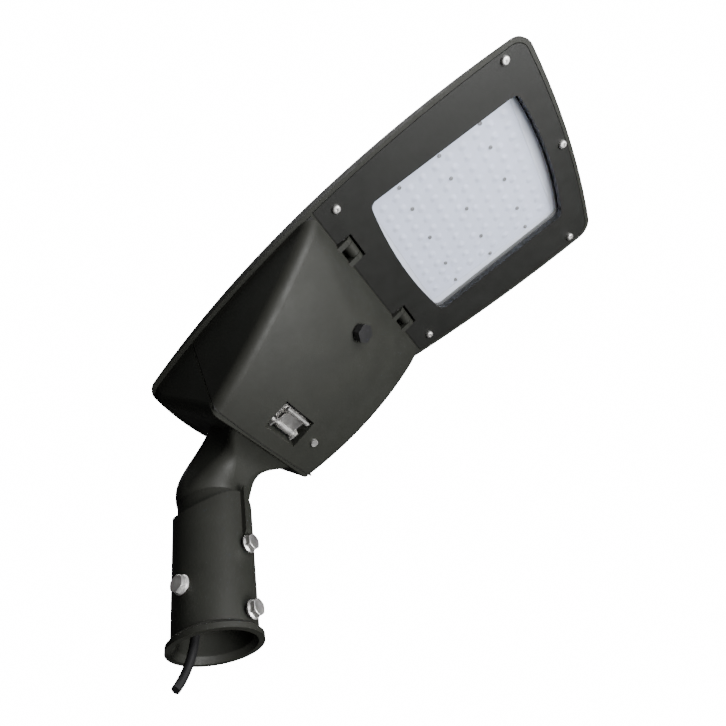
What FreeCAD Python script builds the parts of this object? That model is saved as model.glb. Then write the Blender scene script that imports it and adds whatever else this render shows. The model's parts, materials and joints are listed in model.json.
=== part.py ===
"""LED street light head for a 60 mm pole top.

A finned die-cast housing carries the LED compartment behind glass at its far
end and the gear compartment behind a hinged belly door at its near end.  Its
neck bends down into a saddle on a pole sleeve, so the head can be tilted.

Pieces of the head are drawn in the head's own axes: x along the head towards
the LED end, y across it, z up and away from the glass, with the origin on the
underside of the glass frame at the door hinge.  Pieces of the sleeve are drawn
in the pole's axes, with the origin at the sleeve's mouth.
"""

import FreeCAD
import Part
import math
import os
import re
import Sketcher

V = FreeCAD.Vector
doc = FreeCAD.newDocument("street_light_head")
sheet = doc.addObject("Spreadsheet::Sheet", "Sizes")
SIZES = {
    # pole sleeve and tilt saddle (pole axes)
    "pole_diameter": 60,  # pole top that the sleeve takes
    "bore_gap": 1,  # room between pole and bore, all round
    "web": 15,  # thickness of the stop web under the cradle
    "sleeve_wall": 4.6,  # wall of the sleeve above its lip
    "lip_reach": 4.2,  # how far the mouth lip stands out
    "lip_height": 4.5,  # height of the mouth lip
    "lip_taper": 3.5,  # height of the slope above the lip
    "lead_in": 3.5,  # widening of the bore at its mouth
    "lead_height": 5,  # height of the widening
    "sleeve_flare": 1.2,  # gain in radius from lip to saddle
    "pivot_height": 163,  # tilt axis above the mouth
    "saddle_radius": 50,  # cradle that the neck tilts in
    "saddle_gap": 0.4,  # running gap in the cradle
    "rib_width": 6.5,  # rib below the head
    "rib_reach": 5.2,  # how far the rib stands out
    "rib_foot": 83,  # lower end of the rib
    "clamp_low": 16,  # lower front clamp bolt above the mouth
    "clamp_high": 74,  # upper front clamp bolt above the mouth
    "clamp_side": 42,  # side clamp bolts above the mouth
    "clamp_bolt": 8,  # clamp bolt diameter
    "clamp_standoff": 3.6,  # bare shank under a clamp bolt's head
    "tilt_bolt": 10,  # tilt bolt diameter
    "tilt_travel": 10,  # tilt to either side of the set angle, degrees
    "tilt": 10,  # head above level, degrees
    "lean": 10,  # neck axis back from the head's upright, degrees
    "pivot_x": -242.4,  # tilt axis in head axes
    "pivot_z": -82.2,  # tilt axis in head axes
    # plan of the head
    "far_end": 251.9,  # LED end on the centre line
    "far_corner": 243.2,  # LED end at its corners
    "far_half": 124.3,  # half width at the LED end
    "mid_half": 117,  # half width at the hinge
    "near_corner": 243.9,  # neck end at its corners
    "near_half": 75.2,  # half width at the neck end
    "near_end": 252.5,  # neck end on the centre line
    "plan_corner": 19,  # corner radius in plan
    "rim_strip": 4,  # rim left standing round door and frame
    # crown over the head
    "crown_top": 40,  # highest point of the crown
    "crown_x": 80,  # highest point from the hinge
    "crown_long": 2000,  # radius of the crown along the head
    "crown_cross": 262,  # radius of the crown across the head
    "brow_run": 46,  # length of the sloped brow at the LED end
    "brow_lip": 6,  # rim height below the brow
    "casting_wall": 4,  # wall of the housing
    "fin_pitch": 12,  # cooling slot spacing
    "fin_slot": 5,  # cooling slot width
    "fin_slots": 15,  # number of cooling slots
    "fin_start": 24,  # slots start from the hinge
    "fin_end": 236,  # slots end from the hinge
    "fin_floor": 23.5,  # slot floor height
    # belly: door and chin
    "side_draft": 9.6,  # narrowing of the sides over belly_depth
    "belly_depth": 100,  # height over which the sides narrow
    "belly_radius": 444,  # long curve of the door's underside
    "belly_x": -270.5,  # centre of that curve
    "belly_z": 337,  # centre of that curve
    "belly_cross": 750,  # crown across the door's underside
    "belly_lie": 22.5,  # lie of the door's underside, degrees
    "nose_radius": 100,  # front curve of the door
    "nose_angle": 31.9,  # where the front curve meets the long one
    "chin_start": 252,  # chin slope at rim height
    "chin_angle": 51.3,  # slope of the chin
    "belly_edge": 12,  # rounding of the door and chin
    "nose_edge": 50,  # rounding across the door behind its nose
    "door_wall": 3,  # wall of the door
    "door_end": 172,  # rear edge of the door
    "seal": 1,  # thickness of the pressed door seal
    "flange": 8,  # inward flange that the seal lies on
    "front_land": 14,  # solid land at the door's front edge
    # neck
    "bend_drop": 31,  # centre of the neck's bend below the tilt axis
    "bend_inner": 30,  # inner radius of the bend
    "neck_diameter": 65,  # round foot of the neck
    "neck_depth": 54,  # depth of the neck at the head
    "neck_waist": 27.5,  # half width at the waist
    "neck_root": 50,  # half width where it meets the head
    "neck_wall": 5,  # wall of the neck
    "shoe": 5.6,  # curved floor of the neck
    # LED compartment
    "frame_gap": 0.6,  # seam round the glass frame
    "frame_plate": 3.5,  # thickness of the glass frame
    "frame_border": 2.5,  # border standing up round the window
    "window_near": 41,  # window edge nearest the hinge
    "window_far": 226,  # window edge at the LED end
    "window_bow": 8,  # how far the window's ends bow out
    "window_half_near": 84,  # half width of the window near the hinge
    "window_half_far": 79,  # half width of the window at the LED end
    "window_corner": 8,  # corner radius of the window
    "glass_lap": 3,  # glass held beyond the window
    "glass_thick": 4,  # toughened glass
    "gasket_rim": 2.5,  # rubber round the glass edge
    "gasket_lip": 1,  # rubber under and over the glass
    "ledge": 4,  # housing ledge that the gasket presses on
    "sink_face": 18,  # face that the LED board lies on
    "pad_thick": 0.5,  # thermal pad
    "board_thick": 1.6,  # LED board
    "board_near": 50,  # board edge nearest the hinge
    "board_far": 212,  # board edge at the LED end
    "board_half": 73,  # half width of the board
    "lens_lap": 2.5,  # lens plate beyond the board
    "lens_base": 2.5,  # lens plate thickness with its rim
    "lens_skin": 1.6,  # lens plate thickness between lenses
    "lens_radius": 5.2,  # radius of one lens
    "lens_rise": 1.8,  # height of one lens
    "lens_pitch_x": 16.17,  # lens spacing along the head
    "lens_pitch_y": 14,  # lens spacing across the head
    "lens_rows": 10,  # lenses each way
    "chip": 3,  # side of one LED
    "chip_thick": 0.6,  # thickness of one LED
    "fix_pitch": 48.5,  # lens plate screws along the head
    "fix_inner": 42,  # lens plate screws across the head
    "fix_outer": 71,  # outermost lens plate screws across the head
    "small_screw": 2.5,  # lens plate screw diameter
    "frame_screw": 4,  # glass frame screw diameter
    # hinge and latch
    "hinge_x": 9,  # hinge axis along the head
    "hinge_z": 3,  # hinge axis above the glass frame's face
    "hinge_y": 57.7,  # middle of each hinge
    "hinge_pin": 5,  # hinge pin diameter
    "hinge_boss": 6,  # radius of the hinge ears
    "knuckle_half": 7.1,  # half width of the housing's knuckle
    "ear_width": 6,  # width of a door ear
    "hinge_play": 0.6,  # gap beside the ears
    "latch_x": -142,  # middle of the latch pocket
    "latch_long": 30,  # latch pocket along the head
    "latch_half": 23,  # half width of the latch pocket
    "latch_floor": -76,  # floor of the latch pocket
    "latch_pin_x": -150,  # latch pin along the head
    "latch_pin_z": -83,  # latch pin height
    "latch_pin_diameter": 4,  # latch pin
    "hook_top": -64,  # top of the latch hook
    "hook_reach": 28,  # latch hook behind its pin
    "hook_bar": 3,  # thickness of the hook
    "hook_half": 4,  # half width of the hook
    "fit_gap": 0.3,  # gap between pieces that move or rest together
    # gear compartment
    "tray_z": -5,  # underside of the gear tray
    "tray_thick": 1.2,  # sheet of the gear tray
    "tray_near": 160,  # tray edge nearest the neck
    "tray_far": 40,  # tray edge nearest the hinge
    "tray_half": 76,  # half width of the tray
    "post_radius": 5,  # posts that carry the tray
    "driver_near": 158,  # driver end nearest the neck
    "driver_far": 62,  # driver end nearest the hinge
    "driver_side": 10,  # driver's inner side
    "driver_width": 56,  # driver width
    "driver_tall": 30,  # driver height
    "gear_screw": 4,  # gear tray and gear screws
    "cable_diameter": 7.5,  # supply cable
    "cable_x": -8,  # supply cable in the bore
    "cable_y": -14,  # supply cable in the bore
    "wire_diameter": 1.8,  # single wires
    "wire_y": 16,  # LED wires across the head
    "frame_bite": 3.4,  # how far a frame screw's hole enters the casting
    "lens_bite": 3.5,  # how far a lens plate screw enters the casting
    "hinge_well": 11,  # depth of the wells for the door's ears
    "bore_play": 0.08,  # play of a pin or shank in its bore
    "thread_gap": 0.15,  # room between a screw and its tapped hole
    "wire_room": 4.2,  # radius of the passage for the LED wires
    "wire_z": 16.8,  # height of the LED wires over the bay
    "keeper_z": -84,  # seat of the latch keeper
    "door_screw_y": 41,  # door screw across the head
    "door_screw_x": -142,  # door screw along the head
    "plug_x": -36,  # breather plug along the head
    "plug_thread": 12,  # thread of the breather plug
    "rivet": 4,  # rivet shank of the latch bracket
    "bracket_thick": 1.5,  # sheet of the latch bracket
    "bracket_half": 17,  # half width of the latch bracket
    "gear_hole": 3,  # screws that hold the gear to its tray
    "plug_seat": 0.5,  # spot face under the breather plug
    "seat_cut": 0.25,  # spot faces under the door screw and the nuts
    "grommet_radius": 5.9,  # rubber grommet in the sleeve's web
}
for row, (name, number) in enumerate(SIZES.items(), 1):
    sheet.set(f"A{row}", name)
    sheet.set(f"B{row}", str(number))
    sheet.setAlias(f"B{row}", name)
doc.recompute()


def named(formula):
    """Write a formula's size names the way the sheet's expressions want them."""
    return re.sub(
        r"[a-z_]+",
        lambda word: f"Sizes.{word[0]}" if word[0] in SIZES else word[0],
        str(formula),
    )


def value(formula):
    """Return a formula's present value."""
    return float(sheet.evalExpression(str(formula)))


def bind(item, **formulas):
    """Bind properties of an object to formulas; a double underscore stands for a dot."""
    for prop, formula in formulas.items():
        item.setExpression(prop.replace("__", "."), named(formula))
    return item


def put(item, x="0", y="0", z="0"):
    """Bind an object's position."""
    return bind(item, Placement__Base__x=x, Placement__Base__y=y, Placement__Base__z=z)


def turned(item, axis, angle):
    """Bind an object's rotation about an axis through its position."""
    item.Placement = FreeCAD.Placement(V(), FreeCAD.Rotation(V(*axis), 1))
    return bind(item, Placement__Rotation__Angle=angle)


def box(name, x, y, z):
    """Make a box from (low, high) formula pairs along the three axes."""
    item = doc.addObject("Part::Box", name)
    bind(
        item,
        Length=f"({x[1]}) - ({x[0]})",
        Width=f"({y[1]}) - ({y[0]})",
        Height=f"({z[1]}) - ({z[0]})",
    )
    return put(item, x[0], y[0], z[0])


def rod(name, radius, low, high, at, axis="z"):
    """Make a cylinder along an axis from low to high, at the other two coordinates."""
    item = doc.addObject("Part::Cylinder", name)
    bind(item, Radius=radius, Height=f"({high}) - ({low})")
    if axis == "x":
        turned(item, (0, 1, 0), "90")
        return put(item, low, *at)
    if axis == "y":
        turned(item, (-1, 0, 0), "90")
        return put(item, at[0], low, at[1])
    return put(item, at[0], at[1], low)


def hexagon(name, across, low, high, at):
    """Make an upright hexagonal prism by its width across flats."""
    item = doc.addObject("Part::Prism", name)
    item.Polygon = 6
    bind(item, Circumradius=f"({across}) / sqrt(3)", Height=f"({high}) - ({low})")
    return put(item, at[0], at[1], low)


TURNS = {
    "xy": FreeCAD.Rotation(),
    "xz": FreeCAD.Rotation(V(1, 0, 0), 90),
    "yz": FreeCAD.Rotation(V(1, 1, 1), 120),
}
ALONG = {"xy": V(0, 0, 1), "xz": V(0, 1, 0), "yz": V(1, 0, 0)}


def outline(name, plane, path):
    """Draw a closed, fully held outline.

    Args:
        name: the sketch's name.
        plane: "xy", "xz" or "yz"; the sketch's axes lie along those two axes.
        path: corners in order; a pair is a straight line to that corner, and
            four formulas are an arc through the first two to the last two.

    Returns:
        The sketch, with each corner and each arc's middle held by two distances.
    """
    sketch = doc.addObject("Sketcher::SketchObject", name)
    sketch.Placement = FreeCAD.Placement(V(), TURNS[plane])

    def spot(pair):
        return V(value(pair[0]), value(pair[1]), 0)

    def hold(geometry, end, pair):
        for kind, formula in zip(("DistanceX", "DistanceY"), pair):
            n = sketch.addConstraint(Sketcher.Constraint(kind, -1, 1, geometry, end, value(formula)))
            sketch.setExpression(f"Constraints[{n}]", named(formula))

    ends = []
    start = path[-1][-2:]
    for step in path:
        first, last = spot(start), spot(step[-2:])
        forward = True
        if len(step) == 2:
            curve = Part.LineSegment(first, last)
        else:
            middle = spot(step[:2])
            forward = (middle - first).cross(last - middle).z > 0
            curve = Part.Arc(first, middle, last) if forward else Part.Arc(last, middle, first)
        n = sketch.addGeometry(curve)
        ends.append((n, 1 if forward else 2, 2 if forward else 1, start, step))
        start = step[-2:]
    for k, (n, first, last, corner, step) in enumerate(ends):
        following = ends[(k + 1) % len(ends)]
        sketch.addConstraint(Sketcher.Constraint("Coincident", n, last, following[0], following[1]))
        hold(n, first, corner)
        if len(step) == 4:
            middle = sketch.addGeometry(Part.Point(spot(step[:2])), True)
            sketch.addConstraint(Sketcher.Constraint("PointOnObject", middle, 1, n))
            hold(middle, 1, step[:2])
    return sketch


def prism(name, plane, path, low, high):
    """Extrude an outline from low to high along the axis that its plane leaves out."""
    item = doc.addObject("Part::Extrusion", name)
    item.Base = outline(name + "_outline", plane, path)
    item.DirMode = "Custom"
    item.Dir = ALONG[plane]
    item.Solid = True
    return bind(item, LengthFwd=high, LengthRev=f"-({low})")


def turning(name, path, axis, at, plane="xz"):
    """Revolve an outline once round an axis through a point of formulas."""
    item = doc.addObject("Part::Revolution", name)
    item.Source = outline(name + "_outline", plane, path)
    item.Axis = V(*axis)
    item.Angle = 360
    item.Solid = True
    return bind(item, Base__x=at[0], Base__y=at[1], Base__z=at[2])


def loft(name, sections, ruled=False):
    """Loft a solid through outlines."""
    item = doc.addObject("Part::Loft", name)
    item.Sections = sections
    item.Solid = True
    item.Ruled = ruled
    return item


def common(name, *items):
    """Keep what the objects share."""
    item = doc.addObject("Part::MultiCommon", name)
    item.Shapes = items
    return item


def fuse(name, *items):
    """Join objects into one solid."""
    if len(items) == 1:
        return items[0]
    item = doc.addObject("Part::MultiFuse", name)
    item.Shapes = items
    item.Refine = True
    return item


def cut(name, base, *tools):
    """Cut tools from a base."""
    item = doc.addObject("Part::Cut", name)
    item.Base = base
    item.Tool = fuse(name + "_tools", *tools)
    return item


def group(name, *items):
    """Hold identical separate pieces as one node."""
    item = doc.addObject("Part::Compound", name)
    item.Links = items
    return item


def rounded(name, base, radius, chosen):
    """Fillet the edges of a base that a test chooses."""
    doc.recompute()
    item = doc.addObject("Part::Fillet", name)
    item.Base = base
    r = value(radius)
    item.Edges = [(n, r, r) for n, edge in enumerate(base.Shape.Edges, 1) if chosen(edge)]
    return item


# forms shared by the housing, the door and their seals


def plan(inset):
    """Return the head's plan as a path, drawn in by an inset."""
    far = (f"far_corner - ({inset})", f"far_half - ({inset})")
    near = (f"-near_corner + ({inset})", f"near_half - ({inset})")
    side = ("-26", f"mid_half - ({inset})")
    return [
        (*side, *near),
        (f"-near_end + ({inset})", "0", near[0], f"-({near[1]})"),
        (side[0], f"-({side[1]})", far[0], f"-({far[1]})"),
        (f"far_end - ({inset})", "0", *far),
    ]


def upright(edge):
    """Tell whether an edge runs mostly along z."""
    ends = [v.Point for v in edge.Vertexes]
    return len(ends) == 2 and abs(ends[0].z - ends[1].z) > 0.8 * edge.Length


def plan_prism(name, inset, low, high):
    """Make the plan, drawn in by an inset and with rounded corners, from low to high."""
    block = prism(name + "_block", "xy", plan(inset), low, high)
    return rounded(name, block, f"max(plan_corner - ({inset}); 4)", upright)


def crown(name, inset):
    """Make the doubly curved crown, drawn in by an inset."""
    half = "(far_half + 5)"
    cross = f"(crown_cross - ({inset}))"
    top = f"crown_top - ({inset})"
    edge = f"{top} - {cross} + sqrt({cross}^2 - {half}^2)"
    path = [(f"-{half}", "-20"), (half, "-20"), (half, edge), ("0", top, f"-{half}", edge)]
    item = doc.addObject("Part::Revolution", name)
    item.Source = outline(name + "_outline", "yz", path)
    item.Axis = V(0, 1, 0)
    item.Angle = 24
    item.Symmetric = True
    item.Solid = True
    bind(item, Base__z="crown_top - crown_long")
    return put(item, "crown_x")


NOSE_X = "(belly_x + (belly_radius - nose_radius) * sin(nose_angle))"
NOSE_Z = "(belly_z - (belly_radius - nose_radius) * cos(nose_angle))"


def belly(name, inset, front="0"):
    """Make the head below its rim, from a front edge back, drawn in by an inset."""
    waist = f"rim_strip + ({inset})"
    top = outline(name + "_rim", "xy", plan(waist))
    foot = outline(name + "_foot", "xy", plan(f"{waist} + side_draft"))
    put(foot, z="-belly_depth")
    sides = rounded(
        name + "_sides",
        loft(name + "_loft", [top, foot], True),
        f"plan_corner - {waist}",
        upright,
    )
    keel = f"(belly_radius - ({inset}))"
    half = "(far_half + 5)"
    barrel = doc.addObject("Part::Revolution", name + "_barrel")
    barrel.Source = outline(
        name + "_keel",
        "xz",
        [
            (f"belly_x + {keel} * sin(-3)", "belly_depth"),
            (f"belly_x + {keel} * sin(-3)", f"belly_z - {keel} * cos(-3)"),
            (
                f"belly_x + {keel} * sin(belly_lie)",
                f"belly_z - {keel} * cos(belly_lie)",
                f"belly_x + {keel} * sin(42)",
                f"belly_z - {keel} * cos(42)",
            ),
            (f"belly_x + {keel} * sin(42)", "belly_depth"),
        ],
    )
    barrel.Angle = 24
    barrel.Symmetric = True
    barrel.Solid = True
    bind(
        barrel,
        Axis__x="cos(belly_lie)",
        Axis__y="0",
        Axis__z="sin(belly_lie)",
        Base__x="belly_x - (belly_cross - belly_radius) * sin(belly_lie)",
        Base__z="belly_z + (belly_cross - belly_radius) * cos(belly_lie)",
    )
    nose = f"(nose_radius - ({inset}))"
    meet = (f"{NOSE_X} + {nose} * sin(nose_angle)", f"{NOSE_Z} - {nose} * cos(nose_angle)")
    profile = prism(
        name + "_profile",
        "xz",
        [
            (front, f"{NOSE_Z} - sqrt({nose}^2 - ({front} - {NOSE_X})^2)"),
            (
                f"{NOSE_X} + {nose} * sin(nose_angle + 14)",
                f"{NOSE_Z} - {nose} * cos(nose_angle + 14)",
                *meet,
            ),
            (meet[0], "-115"),
            (f"-chin_start + 115 / tan(chin_angle) + ({inset}) / sin(chin_angle)", "-115"),
            (f"-chin_start + ({inset}) / sin(chin_angle)", "0"),
            (front, "0"),
        ],
        f"-{half}",
        half,
    )
    return common(name, sides, barrel, profile)


def slab(name, low, high):
    """Make a block across the whole head between two places along it."""
    return box(name, (low, high), ("-far_half - 10", "far_half + 10"), ("-belly_depth - 20", "0"))


# the neck

REACH = "(bend_inner + neck_diameter / 2)"
BEND_X = f"(pivot_x + {REACH} * cos(lean) - bend_drop * sin(lean))"
BEND_Z = f"(pivot_z - {REACH} * sin(lean) - bend_drop * cos(lean))"


def neck_section(name, turn, outer, half, corner, inset, ahead="0"):
    """Draw one rounded-rectangle section of the neck, a turn round from its foot.

    Args:
        name: the sketch's name.
        turn: degrees round the bend from the neck's foot.
        outer: radius of the section's outer side from the bend's centre.
        half: half its width.
        corner: radius of its corners.
        inset: how far the section is drawn in.
        ahead: how far past the turn, square to the section.

    Returns:
        The sketch.
    """
    low, high = f"bend_inner + ({inset})", f"({outer}) - ({inset})"
    side, r = f"(({half}) - ({inset}))", f"max(({corner}) - ({inset}); 4)"
    near = f"{r} * (1 - cos(45))"
    path = [
        (f"{high} - {r}", side),
        (f"{low} + {r}", side),
        (f"{low} + {near}", f"{side} - {near}", low, f"{side} - {r}"),
        (low, f"-{side} + {r}"),
        (f"{low} + {near}", f"-{side} + {near}", f"{low} + {r}", f"-{side}"),
        (f"{high} - {r}", f"-{side}"),
        (f"{high} - {near}", f"-{side} + {near}", high, f"-{side} + {r}"),
        (high, f"{side} - {r}"),
    ]
    path.append((f"{high} - {near}", f"{side} - {near}", f"{high} - {r}", side))
    sketch = outline(name, "xy", path[1:])
    angle = f"(lean + ({turn}))"
    turned(sketch, (0, 1, 0), f"180 + {angle}")
    return put(
        sketch,
        f"{BEND_X} - ({ahead}) * sin{angle}",
        "0",
        f"{BEND_Z} - ({ahead}) * cos{angle}",
    )


def neck(name, inset, below, ruled):
    """Make the neck, drawn in by an inset: a round foot lofted up and forward into the head."""
    width = "neck_diameter / 2"
    flat = "bend_inner + neck_depth"
    bend = [
        neck_section(name + "_foot", "0", "bend_inner + neck_diameter", width, f"{width} - 0.5", inset),
        neck_section(name + "_rise", "27", f"{flat} + 6", f"({width} + neck_waist) / 2", "20", inset),
        neck_section(name + "_waist", "52", flat, "neck_waist", "12", inset),
        neck_section(name + "_throat", "90 - 2 * lean", flat, "neck_waist + 8", "10", inset),
        neck_section(name + "_root", "90 - lean", flat, "neck_root", "10", inset, "-11"),
    ]
    base = rod(name + "_round", f"{width} - ({inset})", "0", below, ("0", "0"))
    turned(base, (0, 1, 0), "180 + lean")
    put(base, f"{BEND_X} - {REACH} * cos(lean)", "0", f"{BEND_Z} + {REACH} * sin(lean)")
    return fuse(name, loft(name + "_bend", bend, ruled), base)




def in_pole_axes(item):
    """Stand a piece drawn in the pole's axes in the head's axes, where the neck meets the pole."""
    turned(item, (0, 1, 0), "lean")
    return put(item, "pivot_x - pivot_height * sin(lean)", "0", "pivot_z - pivot_height * cos(lean)")


def window(grow):
    """Return the window's outline as a path, grown outwards."""
    near, far = f"(window_near + window_bow - ({grow}))", f"(window_far - window_bow + ({grow}))"
    wide, slim = f"(window_half_near + ({grow}))", f"(window_half_far + ({grow}))"
    return [
        (near, wide),
        (f"window_near - ({grow})", "0", near, f"-{wide}"),
        (far, f"-{slim}"),
        (f"window_far + ({grow})", "0", far, slim),
    ]


def window_prism(name, grow, low, high):
    """Make a block with the window's outline, grown outwards and with rounded corners."""
    block = prism(name + "_block", "xy", window(grow), low, high)
    return rounded(name, block, f"window_corner + ({grow})", upright)


FRAME_SCREWS = [
    ("20.6", "103.5"),
    ("20.6", "-103.5"),
    ("217.1", "113.6"),
    ("217.1", "-113.6"),
    ("242.7", "0"),
]
SIDES = ("-1", "1")


def arc_slot(name, half_long, radius, at, low, high):
    """Make an upright slot with round ends, lying along x about a point."""
    x, y = at
    return fuse(
        name,
        box(
            name + "_mid",
            (f"{x} - ({half_long})", f"{x} + {half_long}"),
            (f"{y} - ({radius})", f"{y} + {radius}"),
            (low, high),
        ),
        rod(name + "_fore", radius, low, high, (f"{x} + {half_long}", y)),
        rod(name + "_aft", radius, low, high, (f"{x} - ({half_long})", y)),
    )


# housing

REAR = "-door_end - seal"
SADDLE_TRAVEL = "saddle_radius * sin(tilt_travel)"

brow = prism(
    "brow",
    "xz",
    [
        ("-near_end - 2", "-1"),
        ("far_end + 2", "-1"),
        ("far_end + 2", "brow_lip"),
        ("far_end - brow_run", "crown_top + 2"),
        ("40 - near_end", "crown_top + 2"),
        ("-near_end - 2", "brow_lip"),
    ],
    "-far_half - 10",
    "far_half + 10",
)
top_shell = common(
    "top_shell",
    plan_prism("shell_plan", "0", "0", "crown_top + 10"),
    crown("shell_crown", "0"),
    brow,
)


def belly_crease(edge):
    """Tell whether an edge is a lower crease of the belly, behind its nose."""
    span = edge.BoundBox
    return span.ZMax < -3 and edge.Length > 12 and span.XMin < -60 and span.XLength > 20


def nose_crease(edge):
    """Tell whether an edge is half of the crease between the belly's nose and its barrel."""
    span = edge.BoundBox
    return -40 < span.XMin and span.XMax < 0 and span.ZMin < -30 and edge.Length > 80


belly_nose = rounded("belly_nose", belly("belly_raw", "0"), "nose_edge", nose_crease)
belly_round = rounded("belly_round", belly_nose, "belly_edge", belly_crease)
belly_flange = belly("belly_flange", "flange", "-front_land - 5")
chin = common("chin", belly_round, slab("chin_slab", "-near_end - 5", REAR))
neck_solid = neck("neck_solid", "0", "bend_drop - 4", False)
sole = cut(
    "sole",
    box(
        "sole_block",
        ("-50", "50"),
        ("-50", "50"),
        ("pivot_height - saddle_radius - 25", "pivot_height - 37"),
    ),
    rod("sole_round", "saddle_radius - saddle_gap", "-60", "60", ("0", "pivot_height"), "y"),
)
neck_outer = cut("neck_outer", neck_solid, in_pole_axes(sole))
casting = fuse("casting", top_shell, chin, neck_outer)

shoe_room = cut(
    "shoe_room",
    box(
        "shoe_block",
        ("-50", "50"),
        ("-50", "50"),
        ("pivot_height - saddle_radius - 25", "pivot_height - 32"),
    ),
    rod("shoe_round", "saddle_radius - saddle_gap - shoe", "-60", "60", ("0", "pivot_height"), "y"),
)
neck_hollow = cut(
    "neck_hollow",
    neck("neck_core", "neck_wall", "bend_drop - 4", True),
    in_pole_axes(shoe_room),
)
gear_roof = common(
    "gear_roof",
    plan_prism("gear_plan", "rim_strip + flange", "0", "crown_top"),
    crown("gear_crown", "casting_wall"),
    box(
        "gear_block",
        ("40 - near_end - 20", "-front_land"),
        ("-far_half", "far_half"),
        ("0", "crown_top"),
    ),
)
chin_hollow = common(
    "chin_hollow",
    belly("belly_chin", "casting_wall"),
    slab("chin_inside", "-near_end", f"{REAR} - 6"),
)
chin_mouth = common("chin_mouth", belly_flange, slab("chin_lip", f"{REAR} - 7", "-door_end"))
neck_mouth = box(
    "neck_mouth",
    (f"{REAR} - 16", f"{REAR} - 1"),
    ("-neck_root + 10", "neck_root - 10"),
    ("-84", "-40"),
)
SHOE_Z = ("pivot_height - saddle_radius - 5", "pivot_height - 33")
saddle_slots = fuse(
    "saddle_slots",
    arc_slot("bolt_slot", SADDLE_TRAVEL, "tilt_bolt / 2 + 0.6", ("0", "0"), *SHOE_Z),
    arc_slot(
        "cable_slot",
        f"{SADDLE_TRAVEL} + 1",
        "cable_diameter / 2 + 1",
        ("cable_x", "cable_y"),
        *SHOE_Z,
    ),
)
frame_recess = cut(
    "frame_recess",
    plan_prism("recess_plan", "rim_strip", "-2", "frame_plate"),
    box(
        "recess_rear",
        ("-near_end - 10", "0.5"),
        ("-far_half - 10", "far_half + 10"),
        ("-3", "frame_plate + 1"),
    ),
)
LEDGE_Z = "(frame_plate + frame_border + 2 * gasket_lip + glass_thick)"
lamp_bay = fuse(
    "lamp_bay",
    window_prism("bay_low", "glass_lap + gasket_rim + fit_gap", "frame_plate - 1", LEDGE_Z),
    window_prism("bay_high", "glass_lap + gasket_rim + fit_gap - ledge", f"{LEDGE_Z} - 1", "sink_face"),
)
first_fin = box(
    "first_fin",
    ("fin_start", "fin_end"),
    (
        "-(fin_slots - 1) / 2 * fin_pitch - fin_slot / 2",
        "fin_slot / 2 - (fin_slots - 1) / 2 * fin_pitch",
    ),
    ("fin_floor", "crown_top + 5"),
)


def row(name, base, count, x="0", y="0", z="0"):
    """Repeat a form at even steps; the count and the steps are formulas."""
    item = doc.addObject("Part::Feature", name)
    steps = value(x), value(y), value(z)
    total = round(value(count))
    doc.recompute()
    copies = []
    for step in range(total):
        copy = base.Shape.copy()
        copy.translate(V(*steps) * step)
        copies.append(copy)
    item.Shape = Part.makeCompound(copies)
    return item


fins = row("fins", first_fin, "fin_slots", y="fin_pitch")

hinge_wells = []
knuckles = []
knuckle_bores = []
for count, side in enumerate(SIDES):
    middle = f"{side} * hinge_y"
    hinge_wells.append(
        box(
            f"hinge_well_{count}",
            ("-1", "window_near - 23.5"),
            (
                f"{middle} - knuckle_half - hinge_play - ear_width - 1",
                f"{middle} + knuckle_half + hinge_play + ear_width + 1",
            ),
            ("-2", "hinge_well"),
        )
    )
    low, high = f"{middle} - knuckle_half", f"{middle} + knuckle_half"
    knuckles.append(
        fuse(
            f"knuckle_{count}",
            box(
                f"knuckle_root_{count}",
                ("hinge_x - hinge_boss", "hinge_x + hinge_boss"),
                (low, high),
                ("hinge_z", "hinge_well + 1"),
            ),
            rod(f"knuckle_eye_{count}", "hinge_boss", low, high, ("hinge_x", "hinge_z"), "y"),
        )
    )
    knuckle_bores.append(
        rod(
            f"knuckle_bore_{count}",
            "hinge_pin / 2 + bore_play",
            low,
            high,
            ("hinge_x", "hinge_z"),
            "y",
        ),
    )

TRAY_POSTS = [("-150", "tray_half - 5"), ("-150", "5 - tray_half"), ("-48", "62"), ("-48", "-62")]
posts = [
    rod(f"post_{count}", "post_radius", "tray_z + tray_thick", "crown_top - 6", at)
    for count, at in enumerate(TRAY_POSTS)
]
gear_posts = common("gear_posts", fuse("post_forms", *posts), crown("post_crown", "casting_wall / 2"))
post_holes = [
    rod(f"post_hole_{count}", "gear_screw / 2 + thread_gap", "tray_z", "tray_z + 12", at)
    for count, at in enumerate(TRAY_POSTS)
]
keeper_boss = common(
    "keeper_boss",
    box("keeper_block", (f"{REAR} - 7", f"{REAR} - 0.4"), ("-12", "12"), ("-110", "keeper_z")),
    belly("belly_boss", "casting_wall / 2"),
)
frame_holes = [
    rod(f"frame_hole_{count}", "frame_screw / 2 + thread_gap", "0", "frame_plate + frame_bite", at)
    for count, at in enumerate(FRAME_SCREWS)
]
FIX_X = [f"(board_near + board_far) / 2 + {step} * fix_pitch" for step in ("-1", "0", "1")]
FIX_Y = ("-fix_outer", "-fix_inner", "0", "fix_inner", "fix_outer")
FIXINGS = [(x, y) for x in FIX_X for y in FIX_Y]
lens_holes = [
    rod(
        f"lens_hole_{count}",
        "small_screw / 2 + thread_gap",
        "sink_face - 1",
        "sink_face + lens_bite + 0.4",
        at,
    )
    for count, at in enumerate(FIXINGS)
]
wire_way = rod("wire_way", "wire_room", "-front_land - 8", "window_near + 4", ("wire_y", "wire_z"), "x")
KEEPER_SCREWS = [(f"{REAR} - 4.5", f"{side} * 7.5") for side in SIDES]
keeper_holes = [
    rod(f"keeper_tap_{count}", "small_screw / 2 + thread_gap", "keeper_z - 4", "keeper_z + 1", at)
    for count, at in enumerate(KEEPER_SCREWS)
]

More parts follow.
